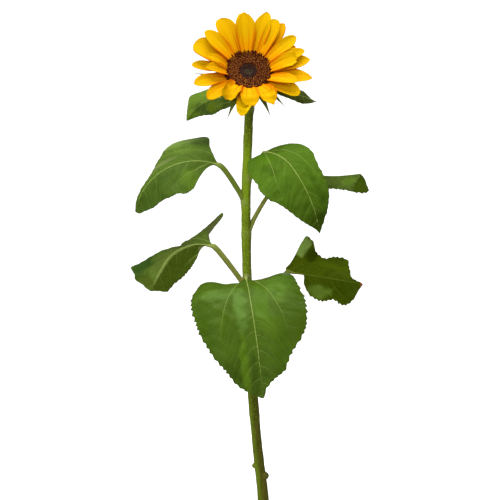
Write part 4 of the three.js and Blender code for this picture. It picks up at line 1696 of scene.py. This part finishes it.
# After its row and shape, each ray is given its painted shade, painted light where below 0, then its rust.
RAYS = (
    Ray("top", 93.6, 51, 25, (34, 18), F, PetalShape(0.6, 2.2, 0.6, lop=0.03, notch=0.02), 0.1),
    Ray("top_right_1", 79, 42, 19, (30, 20), B, PetalShape(), 0.6),
    Ray("top_right_2", 72, 57, 22, (38, 10), B, PetalShape(0.55, 1.8, 0.62, lop=-0.06), 0.1),
    Ray("top_right_3", 56.5, 50, 19, (32, 16), F, PetalShape(0.64, 2.8, 0.42, bend=18, twist=-8), 0.1),
    Ray("top_right_4", 51.5, 53, 17.5, (28, 10), B, PetalShape(0.6, 2.2, 0.6, bend=8), 0.3, 0.6),
    Ray("right_upper_1", 33.6, 47.3, 17.5, (30, 12), F, PetalShape(0.6, 2.4, 0.55, lop=0.03), 0.05),
    Ray("right_upper_2", 29, 42, 17, (20, 8), B, PetalShape(0.55, 2.0, 0.7), 0.6, 0.6),
    Ray("right_upper_3", 16, 47.5, 16, (26, 9), F, PetalShape(0.6, 2.3, 0.6, bend=4, twist=8), 0.1),
    Ray("right_1", 8.4, 50.9, 21.5, (22, 6), B, PetalShape(0.55, 1.9, 0.7), 0.15),
    Ray("right_2", 5.5, 39, 21, (45, 16), F, PetalShape(0.66, 3.0, 0.45, notch=0.06, lop=0.05, twist=10),
        0.15),
    Ray("right_3", 348.4, 52.5, 21.5, (16, 6), B, PetalShape(0.55, 1.8, 0.75, bend=3), 0.25),
    Ray("right_4", 335, 41, 17, (36, 10), F, PetalShape(0.6, 2.2, 0.6, twist=-8), 0.25),
    Ray("right_lower", 326, 46.6, 21, (24, 2), B, PetalShape(0.6, 2.4, 0.55, bend=5), 0.1),
    Ray("bottom_right_1", 307, 30, 16, (36, -5), B, PetalShape(0.5, 1.8, 0.8), 0.5),
    Ray("bottom_right_2", 297, 39.3, 20, (42, -12), F, PetalShape(0.55, 1.9, 0.75, twist=14, notch=0.02),
        0.15, crumple=0.5),
    Ray("bottom", 270, 33.6, 23, (48, -30), F, PetalShape(0.6, 2.6, 0.5, 14, 8, notch=0.05),
        0.15, crumple=0.7),
    Ray("bottom_hanging", 262.5, 43.5, 18, (30, -14), B, PetalShape(0.6, 2.4, 0.55, 10, 10, bend=-3),
        -0.2, crumple=0.5),
    Ray("bottom_left_1", 238, 31.6, 24.5, (50, -26), F,
        PetalShape(0.6, 2.6, 0.5, 16, 40, twist=-16, notch=0.04), 0.2, crumple=0.8),
    Ray("bottom_left_2", 222, 41.5, 20, (25, -7), B, PetalShape(0.6, 2.2, 0.6, bend=-6), 0.3),
    Ray("left_lower", 200, 46.8, 18, (24, 6), B, PetalShape(0.62, 2.4, 0.55, bend=7), 0.2),
    Ray("left_1", 187, 33, 16, (52, 10), F, PetalShape(0.5, 1.8, 0.8, twist=-10), 0.3),
    Ray("left_2", 174, 43.5, 14.5, (14, 4), B, PetalShape(0.62, 2.4, 0.55, bend=4), 0.15),
    Ray("left_3", 170, 33, 15, (52, 18), F, PetalShape(0.5, 1.7, 0.8, twist=10), 0.2),
    Ray("left_upper_1", 153.4, 49.2, 29.5, (24, 8), B, PetalShape(0.66, 2.8, 0.5, bend=3), 0.12, 0.5),
    Ray("left_upper_2", 137.5, 47.2, 20, (32, 10), F, PetalShape(0.62, 2.2, 0.6, bend=5, lop=-0.04), 0.1),
    Ray("top_left", 115.8, 52, 25.5, (32, 12), B, PetalShape(0.62, 2.6, 0.5, bend=3, lop=0.03), 0.15),
)


@dataclass(frozen=True)
class Bract:
    """One pointed bract under the rays: its angle round the cup, its sizes and where its foot is."""

    angle: float
    length: float
    rise: Row
    width: float = 11.0
    foot: float = 19.5
    level: float = -8.5
    thickness: float = 0.7

    def build(self, name: str, skin: bpy.types.Material) -> None:
        """Makes the bract.

        Args:
            name: the piece's name.
            skin: its material.
        """

        def lift(run: Array, cross: Array) -> Array:
            """Raised middle rib."""
            return 0.35 * np.exp(-((cross / 0.18) ** 2)) * (1 - run)

        petal = Petal(self.angle, self.length, self.width, self.rise, self.foot, self.level, BRACT_SHAPE)
        points, _, _ = petal.sheet(rows=30, columns=8, lift=lift)
        piece = shape_piece(name, points)
        thicken(piece, self.thickness)
        finish_piece(piece, "cup", skin)


BRACT_SHAPE = PetalShape(0.2, 1.0, 1.5, 4, 30)
CUP_FINISH = GrainFinish(srgb(88, 104, 30), srgb(116, 130, 50), scale=420.0, roughness=0.65, gloss=0.05)
BRACTS = (
    Bract(180, 44, (-5, 12)),
    Bract(208, 38, (-10, 4)),
    Bract(222, 28, (-12, -20)),
    Bract(244, 44, (-14, -20, -50)),
    Bract(262, 26, (-12, -24)),
    Bract(281, 23, (-12, -24)),
    Bract(299, 40, (-16, -24, -44)),
    Bract(321, 40, (-14, -20, -30)),
    Bract(336, 30, (-8, -14)),
    Bract(356, 32, (-6, -8)),
    Bract(20, 30, (-6, -4)),
    Bract(44, 33, (-8, -2)),
    Bract(68, 31, (-8, 0)),
    Bract(92, 34, (-8, -4)),
    Bract(116, 31, (-8, 0)),
    Bract(138, 33, (-6, -4)),
    Bract(160, 30, (-6, 0)),
)


def turned(name: str, section: Sequence[tuple[float, float]], sides: int, steps: int) -> bpy.types.Object:
    """Piece turned about the head's axis.

    Args:
        name: the piece's name.
        section: (radius, height) marks in mm, from the middle of its back to the middle of its front.
        sides: stretches round it.
        steps: stretches along the section.

    Returns:
        The piece.
    """
    marks = even(np.array(section, float), steps)
    marks[0, 0] = marks[-1, 0] = 0.0
    turn = np.linspace(0, 2 * np.pi, sides + 1)
    radius, height = marks[:, :1], np.repeat(marks[:, 1:], sides + 1, axis=1)
    points = np.stack([radius * np.cos(turn), radius * np.sin(turn), height], axis=-1)
    return shape_piece(name, HEAD.world(points))


@dataclass(frozen=True)
class FloretKind:
    """One ring of disc florets: its reach from the middle, and the size, lean and finish of a floret.

    Lean is from its inner to its outer edge, in degrees, outwards where positive. Waist is how wide a floret
    is near its top against its middle, above 1 where it is open.
    """

    name: str
    inner: float
    outer: float
    width: float
    height: float
    lean: tuple[float, float]
    waist: float
    seed: int
    finish: GrainFinish

    def mesh(self) -> tuple[Array, list[tuple[int, ...]]]:
        """One floret, a six-sided bud that stands on the origin.

        Returns:
            Its points, in mm, and its faces.
        """
        rings = ((0.0, 0.75), (0.45, 1.0), (0.8, self.waist * 0.95))
        turn = np.arange(6) * np.pi / 3
        points = [(r * self.width * math.cos(a), r * self.width * math.sin(a), h * self.height)
                  for h, r in rings for a in turn]
        points.append((0, 0, self.height * (1.0 if self.waist <= 1 else 0.86)))
        faces = [(i * 6 + k, i * 6 + (k + 1) % 6, i * 6 + 6 + (k + 1) % 6, i * 6 + 6 + k)
                 for i in range(2) for k in range(6)]
        faces += [(12 + k, 12 + (k + 1) % 6, 18) for k in range(6)]
        faces.append(tuple(range(5, -1, -1)))
        return np.array(points), faces


FLORET_KINDS = (
    FloretKind(
        "heart", inner=0.0, outer=5.2, width=0.62, height=2.6, lean=(0, -12), waist=1.0, seed=35,
        finish=GrainFinish(srgb(76, 66, 48), srgb(104, 94, 74), scale=900.0),
    ),
    FloretKind(
        "core", inner=5.2, outer=10.4, width=0.74, height=2.8, lean=(-12, 0), waist=1.0, seed=28,
        finish=GrainFinish(srgb(58, 36, 28), srgb(88, 62, 54), scale=900.0),
    ),
    FloretKind(
        "ring", inner=10.4, outer=23.5, width=0.6, height=3.2, lean=(4, 20), waist=1.25, seed=28,
        finish=GrainFinish(srgb(74, 28, 10), srgb(116, 54, 18), scale=900.0),
    ),
    FloretKind(
        "rim", inner=23.5, outer=29.5, width=0.9, height=4.4, lean=(20, 42), waist=0.85, seed=21,
        finish=GrainFinish(srgb(62, 20, 6), srgb(100, 42, 14), scale=900.0),
    ),
)
DISC_FINISH = GrainFinish(srgb(48, 24, 12), srgb(70, 38, 18), scale=700.0, depth=0.5)
STIGMA_FINISH = GrainFinish(srgb(204, 122, 34), srgb(244, 174, 74), scale=600.0)


@dataclass
class Head:
    """The flower head: cup, bracts, disc with its florets, and rays.

    The florets are laid out as far out as spread. Their feet are sunk into the disc, and rise by rim_rise
    between the two radii of rim_from. They stray by the two spreads, in degrees. Open_share is the share of
    the ring's florets that show stigmas, and stigma_foot how far up a floret those start.
    """

    disc_section: tuple[tuple[float, float], ...] = (
        (0, -7), (23, -7), (26.5, -4.4), (25.4, -2.6), (21.3, -1.0), (12.3, -1.5), (6, -2.8), (0, -3.0))
    cup_section: tuple[tuple[float, float], ...] = (
        (0, -18), (7.5, -18), (13, -15.5), (21, -10.5), (25.5, -6.6), (26, -3.82), (0, -3.82))
    florets: int = 880
    spread: float = 27.5
    unevenness: float = 0.45
    sunk: float = 0.6
    rim_rise: float = 2.4
    rim_from: tuple[float, float] = (20.5, 24.5)
    lean_spread: float = 5.0
    sideways_spread: float = 6.0
    floret_sizes: tuple[float, float] = (0.85, 1.15)
    open_share: float = 0.68
    stigma_foot: float = 0.82

    def disc_height(self, radius: Array) -> Array:
        """Height of the disc's face at a radius."""
        face = np.array(self.disc_section[:2:-1])
        return np.interp(radius, face[:, 0], face[:, 1])

    def disc(self) -> None:
        """Makes the disc and its florets, laid out in spirals."""
        base = turned("disc_base", self.disc_section, sides=72, steps=48)
        finish_piece(base, "disc", DISC_FINISH.material("disc_base"), nodes=("flower_disc",))
        number = np.arange(1, self.florets + 1)
        radius = self.spread * np.sqrt((number - 0.5) / self.florets)
        angle = number * math.pi * (3 - math.sqrt(5))
        ripe = radius + np.random.default_rng(17).normal(0, self.unevenness, self.florets)
        for kind in FLORET_KINDS:
            chosen = (ripe >= kind.inner) & (ripe < kind.outer) | (kind.inner == 0) & (ripe < 0)
            self.floret_ring(kind, radius[chosen], angle[chosen])

    def floret_ring(self, kind: FloretKind, radius: Array, angle: Array) -> None:
        """Makes the florets of one kind.

        Args:
            kind: their sizes and finish.
            radius: distance of each from the middle, in mm.
            angle: angle of each round the disc.
        """
        rng = np.random.default_rng(kind.seed)
        share = np.clip((radius - kind.inner) / (kind.outer - kind.inner), 0, 1)
        lean = np.radians(along(kind.lean, share) + rng.normal(0, self.lean_spread, len(radius)))
        sideways = np.radians(rng.normal(0, self.sideways_spread, len(radius)))
        outward = np.stack([np.cos(angle), np.sin(angle), np.zeros_like(angle)], axis=-1)
        across = np.stack([-np.sin(angle), np.cos(angle), np.zeros_like(angle)], axis=-1)
        up = np.array([0, 0, 1.0])
        ways = outward * np.sin(lean)[:, None] + up * np.cos(lean)[:, None]
        ways += across * np.sin(sideways)[:, None]
        foot = self.disc_height(radius) - self.sunk + self.rim_rise * smooth(radius, *self.rim_from)
        places = outward * radius[:, None] + up * foot[:, None]
        shape, faces = kind.mesh()
        shapes = shape[None] * rng.uniform(*self.floret_sizes, len(radius))[:, None, None]
        turns = axes_from(ways @ HEAD.axes(), seed=5)
        piece = strew(f"florets_{kind.name}", shapes, faces, HEAD.world(places), turns)
        finish_piece(piece, "disc", kind.finish.material(f"florets_{kind.name}"))
        if kind.name == "ring":
            chosen = rng.random(len(radius)) < self.open_share
            self.stigmas(kind, places[chosen], ways[chosen])

    def stigmas(self, kind: FloretKind, places: Array, ways: Array) -> None:
        """Makes the two ochre arms that curl out of each open floret.

        Args:
            kind: the florets that they stand in.
            places: foot of each floret in the head.
            ways: the way each floret points.
        """
        arm = np.array([(0.16, 0, 0), (-0.08, 0.14, 0), (-0.08, -0.14, 0),
                        (0.66, 0, 0.75), (0.42, 0.12, 0.75), (0.42, -0.12, 0.75), (1.05, 0, 0.6)])
        faces = [(0, 1, 4, 3), (1, 2, 5, 4), (2, 0, 3, 5), (3, 4, 6), (4, 5, 6), (5, 3, 6)]
        both = np.vstack([arm, arm * [-1, -1, 1]])
        pair = faces + [tuple(corner + len(arm) for corner in face) for face in faces]
        up = ways / np.linalg.norm(ways, axis=1, keepdims=True)
        tops = places + up * kind.height * self.stigma_foot
        piece = strew("stigmas", both, pair, HEAD.world(tops), axes_from(ways @ HEAD.axes(), seed=9))
        finish_piece(piece, "disc", STIGMA_FINISH.material("stigmas"))

    def cup(self) -> None:
        """Makes the cup and the bracts round it."""
        skin = CUP_FINISH.material("cup")
        shell = turned("cup_shell", self.cup_section, sides=64, steps=36)
        finish_piece(shell, "cup", skin, nodes=("flower_cup",))
        for number, bract in enumerate(BRACTS):
            bract.build(f"bract_{number + 1}", skin)

    def build(self) -> None:
        """Makes the whole head."""
        self.cup()
        self.disc()
        silk = RayFinish().material("ray")
        for number, ray in enumerate(RAYS):
            ray.build(100 + number, silk)


# Studio


@dataclass(frozen=True)
class Studio:
    """Plain pale stage, soft lights and the camera."""

    camera_at: tuple[float, float, float] = (-0.015, -1.667, 0.3036)
    lens: float = 100.0
    ambient: float = 0.5
    stage_radius: float = 4.0
    aim: tuple[float, float, float] = (0.0, 0.0, 0.3)

    def light(self, name: str, place: Row, size: float, power: float) -> None:
        """Adds a square soft light that faces the aim, the middle of the plant.

        Args:
            name: its name.
            place: where it stands, in metres.
            size: its side, in metres.
            power: its power, in watts.
        """
        bpy.ops.object.light_add(type="AREA", location=place)
        lamp = bpy.context.object
        lamp.name = name
        lamp.data.energy = power
        lamp.data.size = size
        way = np.array(self.aim) - np.array(place)
        flat = math.hypot(way[0], way[1])
        lamp.rotation_euler = (math.atan2(flat, -way[2]), 0, math.atan2(way[1], way[0]) - math.pi / 2)

    def stage(self) -> None:
        """Adds the floor with its round wall, which shows white and lights nothing."""
        bpy.ops.mesh.primitive_uv_sphere_add(segments=96, ring_count=48, radius=self.stage_radius)
        bowl = bpy.context.object
        bowl.name = "stage_bowl"
        places = np.empty((len(bowl.data.vertices), 3))
        bowl.data.vertices.foreach_get("co", places.ravel())
        places[:, 2] = np.maximum(places[:, 2], 0.0)
        bowl.data.vertices.foreach_set("co", places.ravel())
        bpy.ops.object.mode_set(mode="EDIT")
        bpy.ops.mesh.select_all(action="SELECT")
        bpy.ops.mesh.flip_normals()
        bpy.ops.object.mode_set(mode="OBJECT")
        g = Graph("stage_white")
        white = g.dress(srgb(200, 200, 200), roughness=0.9, height=None, Emission_Color=(1, 1, 1, 1),
                        Emission_Strength=0.95, Specular_IOR_Level=0.0)
        bowl.data.materials.append(white)
        bowl.visible_diffuse = False
        bowl.visible_glossy = False
        bowl.visible_transmission = False
        bowl.visible_shadow = False

    def build(self) -> None:
        """Sets up the stage, the lights and the camera."""
        scene = bpy.context.scene
        scene.view_settings.view_transform = "Standard"
        world = scene.world or bpy.data.worlds.new("studio")
        scene.world = world
        world.use_nodes = True
        background = world.node_tree.nodes["Background"]
        background.inputs[0].default_value = (1, 1, 1, 1)
        background.inputs[1].default_value = self.ambient
        world.cycles_visibility.glossy = False
        self.stage()
        self.light("overhead", (-0.15, -0.45, 2.4), size=1.5, power=52.0)
        self.light("front", (-0.5, -2.3, 1.0), size=1.4, power=20.0)
        self.light("back", (0.7, 2.4, 1.1), size=1.8, power=14.0)
        bpy.ops.object.camera_add(location=self.camera_at, rotation=(math.pi / 2, 0, 0))
        camera = bpy.context.object
        camera.data.lens = self.lens
        camera.data.sensor_width = 36.0
        scene.camera = camera


def main() -> None:
    """Builds the plant and its studio."""
    logging.basicConfig(level=logging.INFO, format="%(message)s")
    stem = Stem()
    stem.build([(leaf.stalk.z, leaf.stalk.outward()) for leaf in LEAVES])
    for leaf in LEAVES:
        leaf.build(stem)
    Head().build()
    Studio().build()


if __name__ == "__main__":
    main()
